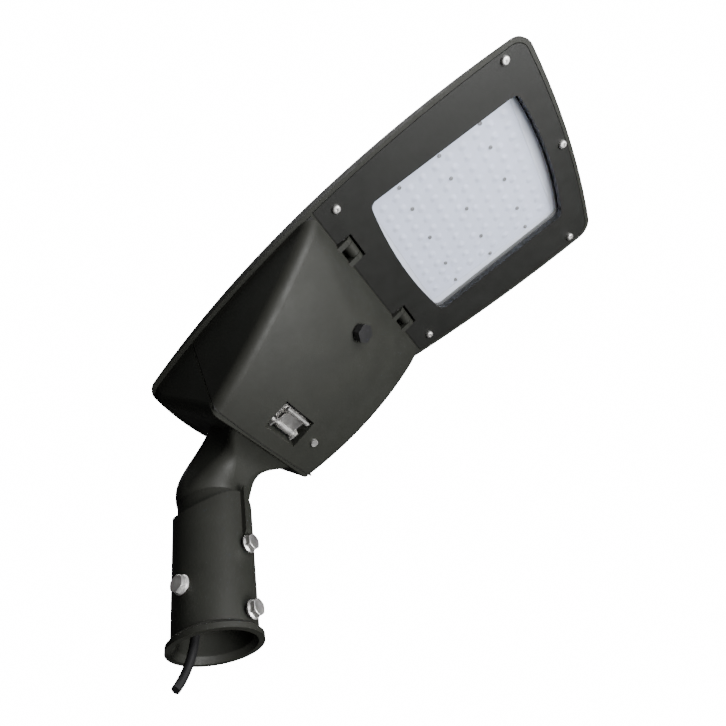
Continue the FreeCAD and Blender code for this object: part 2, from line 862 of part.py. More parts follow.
housing = cut(
    "housing_cut",
    fuse(
        "housing_solid",
        cut("housing_open", casting, gear_roof, chin_hollow, chin_mouth, neck_mouth, neck_hollow),
        gear_posts,
        keeper_boss,
    ),
    in_pole_axes(saddle_slots),
    frame_recess,
    lamp_bay,
    fins,
    *hinge_wells,
    wire_way,
    *post_holes,
    *frame_holes,
    *lens_holes,
    *keeper_holes,
)
housing = cut("housing_bored", fuse("housing_hinged", housing, *knuckles), *knuckle_bores)

# door and its seal

door_form = common(
    "door_form",
    belly_round,
    box("door_block", ("-door_end", "-0.5"), ("-far_half", "far_half"), ("-belly_depth - 15", "-seal")),
)
door_hollow = common(
    "door_hollow",
    belly("belly_door", "door_wall", "-front_land"),
    box("door_room", ("-door_end + 3", "0"), ("-far_half", "far_half"), ("-belly_depth - 15", "-4")),
)
door_mouth = common("door_mouth", belly_flange, slab("door_lip", "-door_end - 1", "1"))
POCKET_X = ("latch_x - latch_long / 2", "latch_x + latch_long / 2")
pocket_walls = common(
    "pocket_walls",
    box(
        "pocket_block",
        ("latch_x - latch_long / 2 - door_wall", "latch_x + latch_long / 2 + door_wall"),
        ("-latch_half - door_wall", "latch_half + door_wall"),
        ("-belly_depth - 15", "latch_floor + door_wall"),
    ),
    belly("belly_pocket", "door_wall / 2"),
)
latch_pocket = box(
    "latch_pocket",
    POCKET_X,
    ("-latch_half", "latch_half"),
    ("-belly_depth - 15", "latch_floor"),
)
hook_slot = box(
    "hook_slot",
    (POCKET_X[0], "latch_pin_x + hook_bar + 9"),
    ("-hook_half - 1", "hook_half + 1"),
    ("latch_floor - 1", "latch_floor + door_wall + 1"),
)
hook_room = box(
    "hook_room",
    ("-door_end - 1", "latch_pin_x"),
    ("-hook_half - 4", "hook_half + 4"),
    ("latch_floor + door_wall", "hook_top + 5"),
)
ARM = [
    ("-3", "-seal - fit_gap"),
    ("-0.9", "-seal - fit_gap"),
    ("hinge_x - 5.2", "hinge_z + 3"),
    ("hinge_x", "hinge_z - hinge_boss"),
    ("-3", "-5.5"),
]
ears = []
ear_bores = []
for side in SIDES:
    for end, sign in (("in", "-1"), ("out", "1")):
        spot = f"{'near' if side == '1' else 'off'}_{end}"
        middle = f"{side} * hinge_y + {sign} * (knuckle_half + hinge_play + ear_width / 2)"
        low, high = f"{middle} - ear_width / 2", f"{middle} + ear_width / 2"
        ears.append(
            fuse(
                f"ear_{spot}",
                prism(f"ear_arm_{spot}", "xz", ARM, low, high),
                rod(f"ear_eye_{spot}", "hinge_boss", low, high, ("hinge_x", "hinge_z"), "y"),
            )
        )
        ear_bores.append(
            rod(f"ear_bore_{spot}", "hinge_pin / 2 + bore_play", low, high, ("hinge_x", "hinge_z"), "y"),
        )
PLUG_LEAN = f"asin((plug_x - {NOSE_X}) / nose_radius)"
PLUG_Z = f"{NOSE_Z} - sqrt(nose_radius^2 - (plug_x - {NOSE_X})^2)"
SCREW_LEAN = "asin((door_screw_x - belly_x) / belly_radius)"
SCREW_Z = "belly_z - sqrt(belly_radius^2 - (door_screw_x - belly_x)^2) + door_screw_y^2 / (2 * belly_cross)"


def on_nose(item):
    """Set a piece drawn about its own axis, pointing inwards, at the breather plug's place."""
    return put(turned(item, (0, 1, 0), f"-{PLUG_LEAN}"), "plug_x", "0", PLUG_Z)


def on_keel(item):
    """Set a piece drawn about its own axis, pointing inwards, at the door screw's place."""
    return put(turned(item, (0, 1, 0), f"-{SCREW_LEAN}"), "door_screw_x", "door_screw_y", SCREW_Z)


RIVETS = [("latch_x + 5", f"{side} * 10") for side in SIDES]
door = cut(
    "door",
    fuse("door_shell", cut("door_open", door_form, door_hollow, door_mouth), pocket_walls, *ears),
    latch_pocket,
    hook_slot,
    hook_room,
    *ear_bores,
    on_nose(
        fuse(
            "plug_seating",
            rod("plug_hole", "plug_thread / 2 + bore_play", "-4", "10", ("0", "0")),
            rod("plug_flat", "9.4", "-6", "plug_seat", ("0", "0")),
            rod("plug_flat_in", "11", "door_wall - seat_cut", "12", ("0", "0")),
        )
    ),
    on_keel(
        fuse(
            "screw_seating",
            rod("door_screw_hole", "gear_screw / 2 + bore_play", "-4", "10", ("0", "0")),
            rod("screw_flat", "gear_screw + 1", "-6", "seat_cut", ("0", "0")),
            rod("screw_flat_in", "gear_screw + 1", "door_wall - seat_cut", "12", ("0", "0")),
        )
    ),
    *[
        rod(f"rivet_hole_{n}", "rivet / 2 + 0.05", "latch_floor - 1", "latch_floor + door_wall + 1", at)
        for n, at in enumerate(RIVETS)
    ],
)

seal_outer = belly("belly_seal", "seal")
seal_inner = belly("belly_seal_bore", "flange - 1", "-front_land - 4")
door_gasket = cut(
    "door_gasket",
    common(
        "seal_form",
        seal_outer,
        fuse(
            "seal_slabs",
            box("seal_top", ("-door_end - seal", "-2"), ("-far_half", "far_half"), ("-seal", "0")),
            box(
                "seal_back",
                ("-door_end - seal", "-door_end"),
                ("-far_half", "far_half"),
                ("-belly_depth - 15", "0"),
            ),
        ),
    ),
    common(
        "seal_bore",
        seal_inner,
        box("seal_room", ("-door_end - 3", "0"), ("-far_half", "far_half"), ("-belly_depth - 15", "1")),
    ),
)

# hinge and latch

PIN_HALF = "(knuckle_half + hinge_play + ear_width)"
hinge_pins = group(
    "hinge_pins",
    *[
        rod(
            f"hinge_pin_{n}",
            "hinge_pin / 2",
            f"{side} * hinge_y - {PIN_HALF}",
            f"{side} * hinge_y + {PIN_HALF}",
            ("hinge_x", "hinge_z"),
            "y",
        )
        for n, side in enumerate(SIDES)
    ],
)
PIN_AT = ("latch_pin_x", "latch_pin_z")
BRACKET = ("latch_floor - bracket_thick", "latch_floor")
latch_pin = rod(
    "latch_pin",
    "latch_pin_diameter / 2",
    "-bracket_half - 2",
    "bracket_half + 2",
    PIN_AT,
    "y",
)
latch_bracket = cut(
    "latch_bracket",
    fuse(
        "bracket_form",
        box(
            "bracket_base",
            ("latch_x - 13", "latch_x + 11"),
            ("-bracket_half", "bracket_half"),
            BRACKET,
        ),
        *[
            box(
                f"bracket_ear_{n}",
                ("latch_pin_x - 5", "latch_pin_x + 5"),
                (
                    f"{side} * (bracket_half - bracket_thick / 2) - bracket_thick / 2",
                    f"{side} * (bracket_half - bracket_thick / 2) + bracket_thick / 2",
                ),
                ("latch_pin_z - 5", BRACKET[1]),
            )
            for n, side in enumerate(SIDES)
        ],
    ),
    box(
        "bracket_slot",
        ("latch_x - 14", "latch_x + 4"),
        ("-hook_half - 1", "hook_half + 1"),
        ("latch_floor - 3", "latch_floor + 1"),
    ),
    rod(
        "bracket_bore",
        "latch_pin_diameter / 2 + 0.05",
        "-bracket_half - 1",
        "bracket_half + 1",
        PIN_AT,
        "y",
    ),
    *[
        rod(f"bracket_hole_{n}", "rivet / 2 + 0.05", "latch_floor - 3", "latch_floor + 1", at)
        for n, at in enumerate(RIVETS)
    ],
)
rivets = group(
    "bracket_rivets",
    *[
        fuse(
            f"rivet_{n}",
            rod(f"rivet_head_{n}", "rivet", "latch_floor - bracket_thick - 1", BRACKET[0], at),
            rod(f"rivet_shank_{n}", "rivet / 2", BRACKET[0], "latch_floor + door_wall", at),
            rod(
                f"rivet_tail_{n}",
                "rivet * 0.8",
                "latch_floor + door_wall",
                "latch_floor + door_wall + 1.2",
                at,
            ),
        )
        for n, at in enumerate(RIVETS)
    ],
)
latch_lever = cut(
    "latch_lever",
    fuse(
        "lever_form",
        rod("lever_hub", "latch_pin_diameter", "-9", "9", PIN_AT, "y"),
        box(
            "lever_plate",
            ("latch_pin_x", "latch_x + 8"),
            ("-12", "12"),
            ("latch_pin_z - 2", "latch_pin_z"),
        ),
        box(
            "lever_clear",
            ("latch_pin_x", "latch_pin_x + 3"),
            ("-9", "9"),
            ("latch_pin_z - 2", "latch_pin_z"),
        ),
        rod("lever_grip", "2.2", "-17", "17", ("latch_x + 10", "latch_pin_z - 1.5"), "y"),
        box(
            "hook_shank",
            ("latch_pin_x - 2", "latch_pin_x - 2 + hook_bar"),
            ("-hook_half", "hook_half"),
            ("latch_pin_z", "hook_top"),
        ),
        box(
            "hook_arm",
            ("latch_pin_x - hook_reach", "latch_pin_x - 2 + hook_bar"),
            ("-hook_half", "hook_half"),
            ("hook_top - hook_bar", "hook_top"),
        ),
    ),
    rod("lever_bore", "latch_pin_diameter / 2 + bore_play", "-13", "13", PIN_AT, "y"),
    box(
        "spring_bay",
        ("latch_pin_x - 5", "latch_pin_x + 4.5"),
        ("9", "13"),
        ("latch_pin_z - 5", "latch_pin_z + 5"),
    ),
    box(
        "spring_bay_off",
        ("latch_pin_x - 5", "latch_pin_x + 4.5"),
        ("-13", "-9"),
        ("latch_pin_z - 5", "latch_pin_z + 5"),
    ),
)
latch_spring = cut(
    "latch_spring",
    rod("spring_coil", "3.6", "9.4", "14.6", PIN_AT, "y"),
    rod("spring_bore", "latch_pin_diameter / 2 + 0.3", "9", "15", PIN_AT, "y"),
)
latch_keeper = cut(
    "latch_keeper",
    fuse(
        "keeper_form",
        box("keeper_foot", (f"{REAR} - 7", f"{REAR} - 1"), ("-10", "10"), ("keeper_z", "keeper_z + 2")),
        box(
            "keeper_post",
            (f"{REAR} - 3", f"{REAR} - 1"),
            ("-5", "5"),
            ("keeper_z", "hook_top - hook_bar - fit_gap"),
        ),
    ),
    *[
        rod(f"keeper_hole_{n}", "small_screw / 2 + bore_play", "keeper_z - 1", "keeper_z + 3", at)
        for n, at in enumerate(KEEPER_SCREWS)
    ],
)

# LED compartment

BORDER_Z = "(frame_plate + frame_border)"
BOARD_TOP = "(sink_face - pad_thick)"
BOARD_FACE = "(sink_face - pad_thick - board_thick)"
LENS_FACE = "(sink_face - pad_thick - board_thick - lens_base)"
BOARD = (("board_near", "board_far"), ("-board_half", "board_half"))
LENS_PLATE = (
    ("board_near - lens_lap", "board_far + lens_lap"),
    ("-board_half - lens_lap", "board_half + lens_lap"),
)

frame_wells = [
    box(
        f"frame_well_{n}",
        ("0", "window_near - 23.5"),
        (
            f"{side} * hinge_y - knuckle_half - hinge_play - ear_width - 1",
            f"{side} * hinge_y + knuckle_half + hinge_play + ear_width + 1",
        ),
        ("-1", "frame_plate + 1"),
    )
    for n, side in enumerate(SIDES)
]
glass_frame = cut(
    "glass_frame",
    fuse(
        "frame_form",
        common(
            "frame_plate_form",
            plan_prism("frame_plan", "rim_strip + frame_gap", "0", "frame_plate"),
            box(
                "frame_front",
                ("0.5 + frame_gap", "far_end"),
                ("-far_half", "far_half"),
                ("-1", "frame_plate"),
            ),
        ),
        window_prism("border", "glass_lap + gasket_rim", "frame_plate / 2", BORDER_Z),
    ),
    window_prism("opening", "0", "-1", f"{BORDER_Z} + 1"),
    *frame_wells,
    *[
        rod(f"frame_bore_{n}", "frame_screw / 2 + bore_play", "-1", "frame_plate + 1", at)
        for n, at in enumerate(FRAME_SCREWS)
    ],
)
glass = window_prism("glass", "glass_lap", f"{BORDER_Z} + gasket_lip", f"{LEDGE_Z} - gasket_lip")
glass_gasket = cut(
    "glass_gasket",
    window_prism("gasket_form", "glass_lap + gasket_rim", BORDER_Z, LEDGE_Z),
    window_prism("gasket_bore", "0.5", "1", "sink_face"),
    window_prism("gasket_groove", "glass_lap", f"{BORDER_Z} + gasket_lip", f"{LEDGE_Z} - gasket_lip"),
)
frame_screws = group(
    "frame_screws",
    *[
        fuse(
            f"frame_screw_{n}",
            rod(f"frame_head_{n}", "frame_screw + 0.2", "-3", "0", at),
            rod(f"frame_shank_{n}", "frame_screw / 2", "0", "frame_plate + frame_bite - 0.4", at),
        )
        for n, at in enumerate(FRAME_SCREWS)
    ],
)
lens_cell = doc.addObject("Part::Prism", "lens_cell")
lens_cell.Polygon = 8
bind(lens_cell, Circumradius="lens_radius", Height="lens_rise + lens_skin / 2")
put(
    lens_cell,
    "(board_near + board_far) / 2 - (lens_rows - 1) / 2 * lens_pitch_x",
    "-(lens_rows - 1) / 2 * lens_pitch_y",
    f"{LENS_FACE} - lens_rise",
)
lens_row = row("lens_row", lens_cell, "lens_rows", y="lens_pitch_y")
lenses = row("lenses", lens_row, "lens_rows", x="lens_pitch_x")
lens_plate = cut(
    "lens_plate",
    fuse("lens_form", box("lens_sheet", *LENS_PLATE, (LENS_FACE, BOARD_FACE)), lenses),
    cut(
        "lens_hollow",
        box(
            "lens_room",
            ("board_near + 1", "board_far - 1"),
            ("-board_half + 1", "board_half - 1"),
            (f"{LENS_FACE} + lens_skin", BOARD_FACE),
        ),
        *[
            rod(f"lens_boss_{n}", "small_screw + 0.5", LENS_FACE, "sink_face", at)
            for n, at in enumerate(FIXINGS)
            if "outer" not in at[1]
        ],
    ),
    *[
        rod(f"lens_bore_{n}", "small_screw / 2 + bore_play", LENS_FACE, "sink_face", at)
        for n, at in enumerate(FIXINGS)
    ],
)
lens_screws = group(
    "lens_screws",
    *[
        fuse(
            f"lens_screw_{n}",
            rod(f"lens_head_{n}", "small_screw * 1.1", f"{LENS_FACE} - 1.7", LENS_FACE, at),
            rod(f"lens_shank_{n}", "small_screw / 2", LENS_FACE, "sink_face + lens_bite", at),
        )
        for n, at in enumerate(FIXINGS)
    ],
)
led_board = cut(
    "led_board",
    box("board_form", *BOARD, (BOARD_FACE, BOARD_TOP)),
    *[
        rod(f"board_bore_{n}", "small_screw / 2 + bore_play", LENS_FACE, "sink_face", at)
        for n, at in enumerate(FIXINGS)
    ],
)
thermal_pad = cut(
    "thermal_pad",
    box("pad_form", *BOARD, (BOARD_TOP, "sink_face")),
    *[
        rod(f"pad_bore_{n}", "small_screw / 2 + bore_play", LENS_FACE, "sink_face + 1", at)
        for n, at in enumerate(FIXINGS)
    ],
)
first_chip = box(
    "first_chip",
    (
        "(board_near + board_far) / 2 - (lens_rows - 1) / 2 * lens_pitch_x - chip / 2",
        "(board_near + board_far) / 2 - (lens_rows - 1) / 2 * lens_pitch_x + chip / 2",
    ),
    (
        "-(lens_rows - 1) / 2 * lens_pitch_y - chip / 2",
        "-(lens_rows - 1) / 2 * lens_pitch_y + chip / 2",
    ),
    (f"{BOARD_FACE} - chip_thick", BOARD_FACE),
)
led_chips = row(
    "led_chips",
    row("chip_row", first_chip, "lens_rows", y="lens_pitch_y"),
    "lens_rows",
    x="lens_pitch_x",
)
bezel = cut(
    "bezel",
    window_prism("bezel_form", "glass_lap + gasket_rim - ledge - frame_gap", LENS_FACE, "sink_face"),
    box(
        "bezel_room",
        ("board_near - lens_lap - fit_gap", "board_far + lens_lap + fit_gap"),
        ("-board_half - lens_lap - fit_gap", "board_half + lens_lap + fit_gap"),
        ("5", "sink_face + 1"),
    ),
    box(
        "bezel_gate",
        ("window_near - 10", "board_near"),
        ("wire_y - wire_room - 1", "wire_y + wire_room + 1"),
        (f"{LENS_FACE} + 1", "sink_face + 1"),
    ),
)

# gear compartment

TRAY_TOP = "(tray_z + tray_thick)"
TERMINALS = (("-driver_far - 26", "-driver_far - 1"), ("-36", "8"))
SURGE = (("-150", "-108"), ("-66", "-33"))
CLAMP = (("-104", "-94"), ("cable_y - 12", "cable_y + 12"))
CLAMP_Z = "(tray_z - 11)"
DRIVER_SCREWS = [
    ("-driver_near - 4", "driver_side + driver_width / 2"),
    ("-driver_far + 4", "driver_side + driver_width / 2"),
]
CLAMP_SCREWS = [("-99", f"cable_y + {side} * 9") for side in SIDES]
TERMINAL_SCREWS = [("-driver_far - 13.5", "-32"), ("-driver_far - 13.5", "4")]
SURGE_SCREWS = [("-145", "-37"), ("-113", "-62")]
SMALL_HOLES = DRIVER_SCREWS + CLAMP_SCREWS + TERMINAL_SCREWS + SURGE_SCREWS
gear_tray = cut(
    "gear_tray",
    box("tray_form", ("-tray_near", "-tray_far"), ("-tray_half", "tray_half"), ("tray_z", TRAY_TOP)),
    *[
        rod(f"tray_bore_{n}", "gear_screw / 2 + bore_play", "tray_z - 1", "0", at)
        for n, at in enumerate(TRAY_POSTS)
    ],
    *[
        rod(f"tray_hole_{n}", "gear_hole / 2 + bore_play", "tray_z - 1", "0", at)
        for n, at in enumerate(SMALL_HOLES)
    ],
)
tray_screws = group(
    "tray_screws",
    *[
        fuse(
            f"tray_screw_{n}",
            rod(f"tray_head_{n}", "gear_screw * 0.95", "tray_z - 2.6", "tray_z", at),
            rod(f"tray_shank_{n}", "gear_screw / 2", "tray_z", "tray_z + 11", at),
        )
        for n, at in enumerate(TRAY_POSTS)
    ],
)


def gear_screws(name, places, top):
    """Make the screws that hold a piece of gear up to the tray, heads below at a height."""
    return group(
        name,
        *[
            fuse(
                f"{name}_{n}",
                rod(f"{name}_head_{n}", "gear_hole", f"{top} - 2", top, at),
                rod(f"{name}_shank_{n}", "gear_hole / 2", top, f"{TRAY_TOP} + 0.8", at),
            )
            for n, at in enumerate(places)
        ],
    )


def gear_case(name, x, y, low, holes, foot):
    """Make a piece of gear hanging under the tray, with bored feet of a given thickness."""
    body = box(name + "_case", x, y, (low, "tray_z"))
    bores = []
    for n, at in enumerate(holes):
        bores.append(
            rod(f"{name}_bore_{n}", "gear_hole / 2 + bore_play", "tray_z - 40", "tray_z + 1", at),
        )
        bores.append(rod(f"{name}_sink_{n}", "gear_hole + 0.4", "tray_z - 40", f"tray_z - {foot}", at))
    return cut(name, body, *bores)


driver = cut(
    "driver",
    fuse(
        "driver_form",
        box(
            "driver_case",
            ("-driver_near + 1", "-driver_far - 1"),
            ("driver_side", "driver_side + driver_width"),
            ("tray_z - driver_tall", "tray_z"),
        ),
        box(
            "driver_lug_0",
            ("-driver_near - 9", "-driver_near + 2"),
            ("driver_side + driver_width / 2 - 8", "driver_side + driver_width / 2 + 8"),
            ("tray_z - 2", "tray_z"),
        ),
        box(
            "driver_lug_1",
            ("-driver_far - 2", "-driver_far + 9"),
            ("driver_side + driver_width / 2 - 8", "driver_side + driver_width / 2 + 8"),
            ("tray_z - 2", "tray_z"),
        ),
    ),
    *[
        rod(f"driver_bore_{n}", "gear_hole / 2 + bore_play", "tray_z - 3", "tray_z + 1", at)
        for n, at in enumerate(DRIVER_SCREWS)
    ],
)
driver_screws = gear_screws("driver_screws", DRIVER_SCREWS, "(tray_z - 2)")
terminal_block = gear_case("terminal_block", *TERMINALS, "tray_z - 22", TERMINAL_SCREWS, "3")
terminal_screws = gear_screws("terminal_screws", TERMINAL_SCREWS, "(tray_z - 3)")
surge_protector = gear_case("surge_protector", *SURGE, "tray_z - 25", SURGE_SCREWS, "3")
surge_screws = gear_screws("surge_screws", SURGE_SCREWS, "(tray_z - 3)")
cable_clamp = cut(
    "cable_clamp",
    gear_case("clamp_form", *CLAMP, f"{CLAMP_Z} - cable_diameter / 2 - 4.5", CLAMP_SCREWS, "4"),
    rod("clamp_bore", "cable_diameter / 2", "-106", "-92", ("cable_y", CLAMP_Z), "x"),
)
clamp_screws = gear_screws("clamp_screws", CLAMP_SCREWS, "(tray_z - 4)")
GROMMET_X = ("-front_land - 2", "-front_land + 8")
bulkhead_grommet = cut(
    "bulkhead_grommet",
    fuse(
        "grommet_form",
        rod("grommet_body", "wire_room", "-front_land", GROMMET_X[1], ("wire_y", "wire_z"), "x"),
        rod(
            "grommet_flange",
            "wire_room + 1.8",
            GROMMET_X[0],
            "-front_land",
            ("wire_y", "wire_z"),
            "x",
        ),
    ),
    rod("grommet_bore", "wire_room - 1", "-front_land - 3", "0", ("wire_y", "wire_z"), "x"),
)
plug_body = fuse(
    "breather_plug",
    hexagon("plug_hex", "18", "-9.5", "-2", ("0", "0")),
    rod("plug_washer", "8.2", "-2", "plug_seat", ("0", "0")),
    rod("plug_shank", "plug_thread / 2", "plug_seat", "9", ("0", "0")),
)
breather_plug = on_nose(plug_body)
breather_nut = on_nose(
    cut(
        "breather_nut",
        hexagon("nut_hex", "17", "door_wall - seat_cut", "door_wall + 4", ("0", "0")),
        rod("nut_bore", "plug_thread / 2 + 0.05", "0", "12", ("0", "0")),
    )
)
door_screw = on_keel(
    fuse(
        "door_screw",
        rod("door_screw_head", "gear_screw", "-2.2", "seat_cut", ("0", "0")),
        rod("door_screw_shank", "gear_screw / 2", "seat_cut", "8", ("0", "0")),
    )
)
door_nut = on_keel(
    cut(
        "door_nut",
        hexagon("door_nut_hex", "7", "door_wall - seat_cut", "door_wall + 3", ("0", "0")),
        rod("door_nut_bore", "gear_screw / 2 + 0.05", "0", "12", ("0", "0")),
    )
)
keeper_screws = group(
    "keeper_screws",
    *[
        fuse(
            f"keeper_screw_{n}",
            rod(f"keeper_head_{n}", "small_screw", "keeper_z + 2", "keeper_z + 3.8", at),
            rod(f"keeper_shank_{n}", "small_screw / 2", "keeper_z - 3.5", "keeper_z + 2", at),
        )
        for n, at in enumerate(KEEPER_SCREWS)
    ],
)

# pole sleeve, in the pole's axes

BORE = "(pole_diameter / 2 + bore_gap)"
BORE_DEPTH = "(pivot_height - saddle_radius - web)"
SLEEVE = f"({BORE} + sleeve_wall)"
spigot_body = turning(
    "spigot_body",
    [
        (f"{BORE} + lead_in", "0"),
        (f"{SLEEVE} + lip_reach", "0"),
        (f"{SLEEVE} + lip_reach", "lip_height"),
        (SLEEVE, "lip_height + lip_taper"),
        (f"{SLEEVE} + sleeve_flare", "pivot_height - 25"),
        ("0", "pivot_height - 25"),
        ("0", BORE_DEPTH),
        (BORE, BORE_DEPTH),
        (BORE, "lead_height"),
    ],
    (0, 0, 1),
    ("0", "0", "0"),
)
rib = box(
    "rib",
    (f"{BORE} + 1", f"{SLEEVE} + rib_reach"),
    ("-rib_width / 2", "rib_width / 2"),
    ("rib_foot", "pivot_height - 25"),
)
rib_tip = prism(
    "rib_tip",
    "xz",
    [
        (f"{SLEEVE} + rib_reach - 3", "rib_foot - 1"),
        (f"{SLEEVE} + rib_reach + 1", "rib_foot - 1"),
        (f"{SLEEVE} + rib_reach + 1", "rib_foot + 6"),
    ],
    "-rib_width",
    "rib_width",
)
CLAMPS = [("0", "clamp_low"), ("0", "clamp_high"), ("90", "clamp_side"), ("-90", "clamp_side")]


def clamp_tool(name, item, turn, height):
    """Set a piece drawn along +z at a clamp bolt's place, facing out of the sleeve."""
    holder = doc.addObject("Part::Compound", name)
    holder.Links = [item]
    holder.Placement = FreeCAD.Placement(V(), FreeCAD.Rotation(V(0, 0, 1), 0))
    spin = FreeCAD.Rotation(V(0, 0, 1), value(turn)) * FreeCAD.Rotation(V(0, 1, 0), 90)
    holder.Placement = FreeCAD.Placement(V(), spin)
    return put(holder, "0", "0", height)


clamp_hole = rod(
    "clamp_hole",
    "clamp_bolt / 2 + bore_play",
    "pole_diameter / 2 - 5",
    f"{SLEEVE} + 10",
    ("0", "0"),
)
web_holes = [
    rod("web_bolt_hole", "tilt_bolt / 2 + 0.5", f"{BORE_DEPTH} - 1", "pivot_height", ("0", "0")),
    rod(
        "web_cable_hole",
        "grommet_radius + 0.1",
        f"{BORE_DEPTH} - 1",
        "pivot_height",
        ("cable_x", "cable_y"),
    ),
]
spigot_sleeve = cut(
    "spigot_sleeve",
    fuse("spigot_form", spigot_body, cut("rib_form", rib, rib_tip)),
    rod("cradle", "saddle_radius", "-60", "60", ("0", "pivot_height"), "y"),
    *[clamp_tool(f"clamp_bore_{n}", clamp_hole, *at) for n, at in enumerate(CLAMPS)],
    *web_holes,
)
clamp_bolt_form = fuse(
    "clamp_bolt_form",
    rod("clamp_shank", "clamp_bolt / 2", f"{BORE} + 0.05", f"{SLEEVE} + clamp_standoff", ("0", "0")),
    rod(
        "clamp_flange",
        "clamp_bolt",
        f"{SLEEVE} + clamp_standoff",
        f"{SLEEVE} + clamp_standoff + 2",
        ("0", "0"),
    ),
    hexagon(
        "clamp_hex",
        "13",
        f"{SLEEVE} + clamp_standoff + 2",
        f"{SLEEVE} + clamp_standoff + 7",
        ("0", "0"),
    ),
)
clamp_bolts = group(
    "clamp_bolts",
    *[clamp_tool(f"clamp_bolt_{n}", clamp_bolt_form, *at) for n, at in enumerate(CLAMPS)],
)

SHOE_IN = "(saddle_radius - saddle_gap - shoe)"
WASHER_TOP = f"(pivot_height - {SHOE_IN} + 5.6)"
tilt_bolt_piece = fuse(
    "tilt_bolt",
    hexagon("tilt_head", "tilt_bolt * 1.6", f"{BORE_DEPTH} - 6.4", BORE_DEPTH, ("0", "0")),
    rod("tilt_shank", "tilt_bolt / 2", BORE_DEPTH, f"{WASHER_TOP} + 11", ("0", "0")),
)
tilt_washer = cut(
    "tilt_washer",
    common(
        "washer_form",
        box("washer_block", ("-11", "11"), ("-9", "9"), ("pivot_height - 60", WASHER_TOP)),
        rod("washer_round", f"{SHOE_IN} - 0.05", "-20", "20", ("0", "pivot_height"), "y"),
    ),
    rod("washer_bore", "tilt_bolt / 2 + 0.4", "pivot_height - 60", "pivot_height", ("0", "0")),
)
tilt_nut = cut(
    "tilt_nut",
    hexagon("tilt_nut_form", "tilt_bolt * 1.6", WASHER_TOP, f"{WASHER_TOP} + 8", ("0", "0")),
    rod("tilt_nut_bore", "tilt_bolt / 2 + 0.05", "pivot_height - 60", "pivot_height", ("0", "0")),
)
cable_grommet = cut(
    "cable_grommet",
    fuse(
        "cable_grommet_form",
        rod(
            "grommet_sleeve",
            "grommet_radius",
            BORE_DEPTH,
            f"{BORE_DEPTH} + web - 1",
            ("cable_x", "cable_y"),
        ),
        rod(
            "grommet_collar",
            "grommet_radius + 1",
            f"{BORE_DEPTH} - 1.5",
            BORE_DEPTH,
            ("cable_x", "cable_y"),
        ),
    ),
    rod(
        "cable_bore",
        "cable_diameter / 2",
        f"{BORE_DEPTH} - 4",
        f"{BORE_DEPTH} + 20",
        ("cable_x", "cable_y"),
    ),
)

# cords


def in_head(x, y, z):
    """Turn a point of the head's axes into the pole's axes."""
    angle = math.radians(value("tilt"))
    along, up = x - value("pivot_x"), z - value("pivot_z")
    return V(
        along * math.cos(angle) - up * math.sin(angle),
        y,
        value("pivot_height") + along * math.sin(angle) + up * math.cos(angle),
    )


def cord(name, diameter, corners, *routes):
    """Sweep cords along routes of straight runs and tangent arcs, round ones with no corners."""
    item = doc.addObject("Part::Feature", name)
    radius = value(diameter) / 2
    solids = []
    for route in routes:
        edges = []
        start = route[0]
        for before, corner, after in zip(route, route[1:], route[2:]):
            back, ahead = (before - corner), (after - corner)
            half = (math.pi - back.getAngle(ahead)) / 2
            back.normalize()
            ahead.normalize()
            if half < 0.001:
                continue
            reach = 0.45 * min(before.distanceToPoint(corner), after.distanceToPoint(corner))
            bend = reach / math.tan(half)
            print(f"{name}: bend radius {bend:.1f} over {math.degrees(2 * half):.0f} degrees")
            first, last = corner + back * reach, corner + ahead * reach
            middle = corner + (back + ahead).normalize() * (bend / math.cos(half) - bend)
            edges.append(Part.makeLine(start, first))
            edges.append(Part.Arc(first, middle, last).toShape())
            start = last
        edges.append(Part.makeLine(start, route[-1]))
        way = Part.Wire(edges)
        ahead = (route[1] - route[0]).normalize()
        ring = Part.Wire(Part.makeCircle(radius, route[0], ahead))
        if corners:
            side = ahead.cross(V(0, 1, 0)).normalize() * radius
            turns = [FreeCAD.Rotation(ahead, 360 * n / corners) for n in range(corners + 1)]
            ring = Part.makePolygon([route[0] + turn.multVec(side) for turn in turns])
        sweep = Part.BRepOffsetAPI.MakePipeShell(way)
        sweep.setFrenetMode(False)
        sweep.add(ring)
        sweep.build()
        sweep.makeSolid()
        print(f"{name}: length {way.Length:.0f}")
        solids.append(sweep.shape())
    item.Shape = Part.makeCompound(solids)
    return item


HOLE_X, HOLE_Y = value("cable_x"), value("cable_y")
CLAMP_Y = value(CLAMP_Z)
supply_route = [
    V(HOLE_X - 4.5, HOLE_Y - 16.8, -31.1),
    V(HOLE_X, HOLE_Y, -10.4),
    V(HOLE_X, HOLE_Y, 60),
    V(HOLE_X, HOLE_Y, 100),
    V(HOLE_X, HOLE_Y, 148.7),
    V(HOLE_X + 15, HOLE_Y, 178.6),
    V(HOLE_X + 41.8, HOLE_Y, 198.5),
    in_head(-174, HOLE_Y, -53.4),
    in_head(-147.3, HOLE_Y, -34.7),
    in_head(-120.6, HOLE_Y, CLAMP_Y),
    in_head(value(TERMINALS[0][0]), HOLE_Y, CLAMP_Y),
]
supply_cable = cord("supply_cable", "cable_diameter", 0, supply_route)
WIRE_Z = value("wire_z")
led_wires = cord(
    "led_wires",
    "wire_diameter",
    8,
    *[
        [
            in_head(value("board_near"), y, WIRE_Z),
            in_head(10, y, WIRE_Z),
            in_head(-32, y, WIRE_Z),
            in_head(-32, y, -18),
            in_head(value("-driver_far - 1"), y, -18),
        ]
        for y in (value("wire_y") - 1.6, value("wire_y") + 1.6)
    ],
)
mains_leads = cord(
    "mains_leads",
    "wire_diameter",
    8,
    *[
        [
            in_head(value("-driver_far - 1"), -2, z),
            in_head(-43, -2, z),
            in_head(-43, 30, z),
            in_head(value("-driver_far - 1"), 30, z),
        ]
        for z in (-10, -13)
    ],
)

# pieces in their places

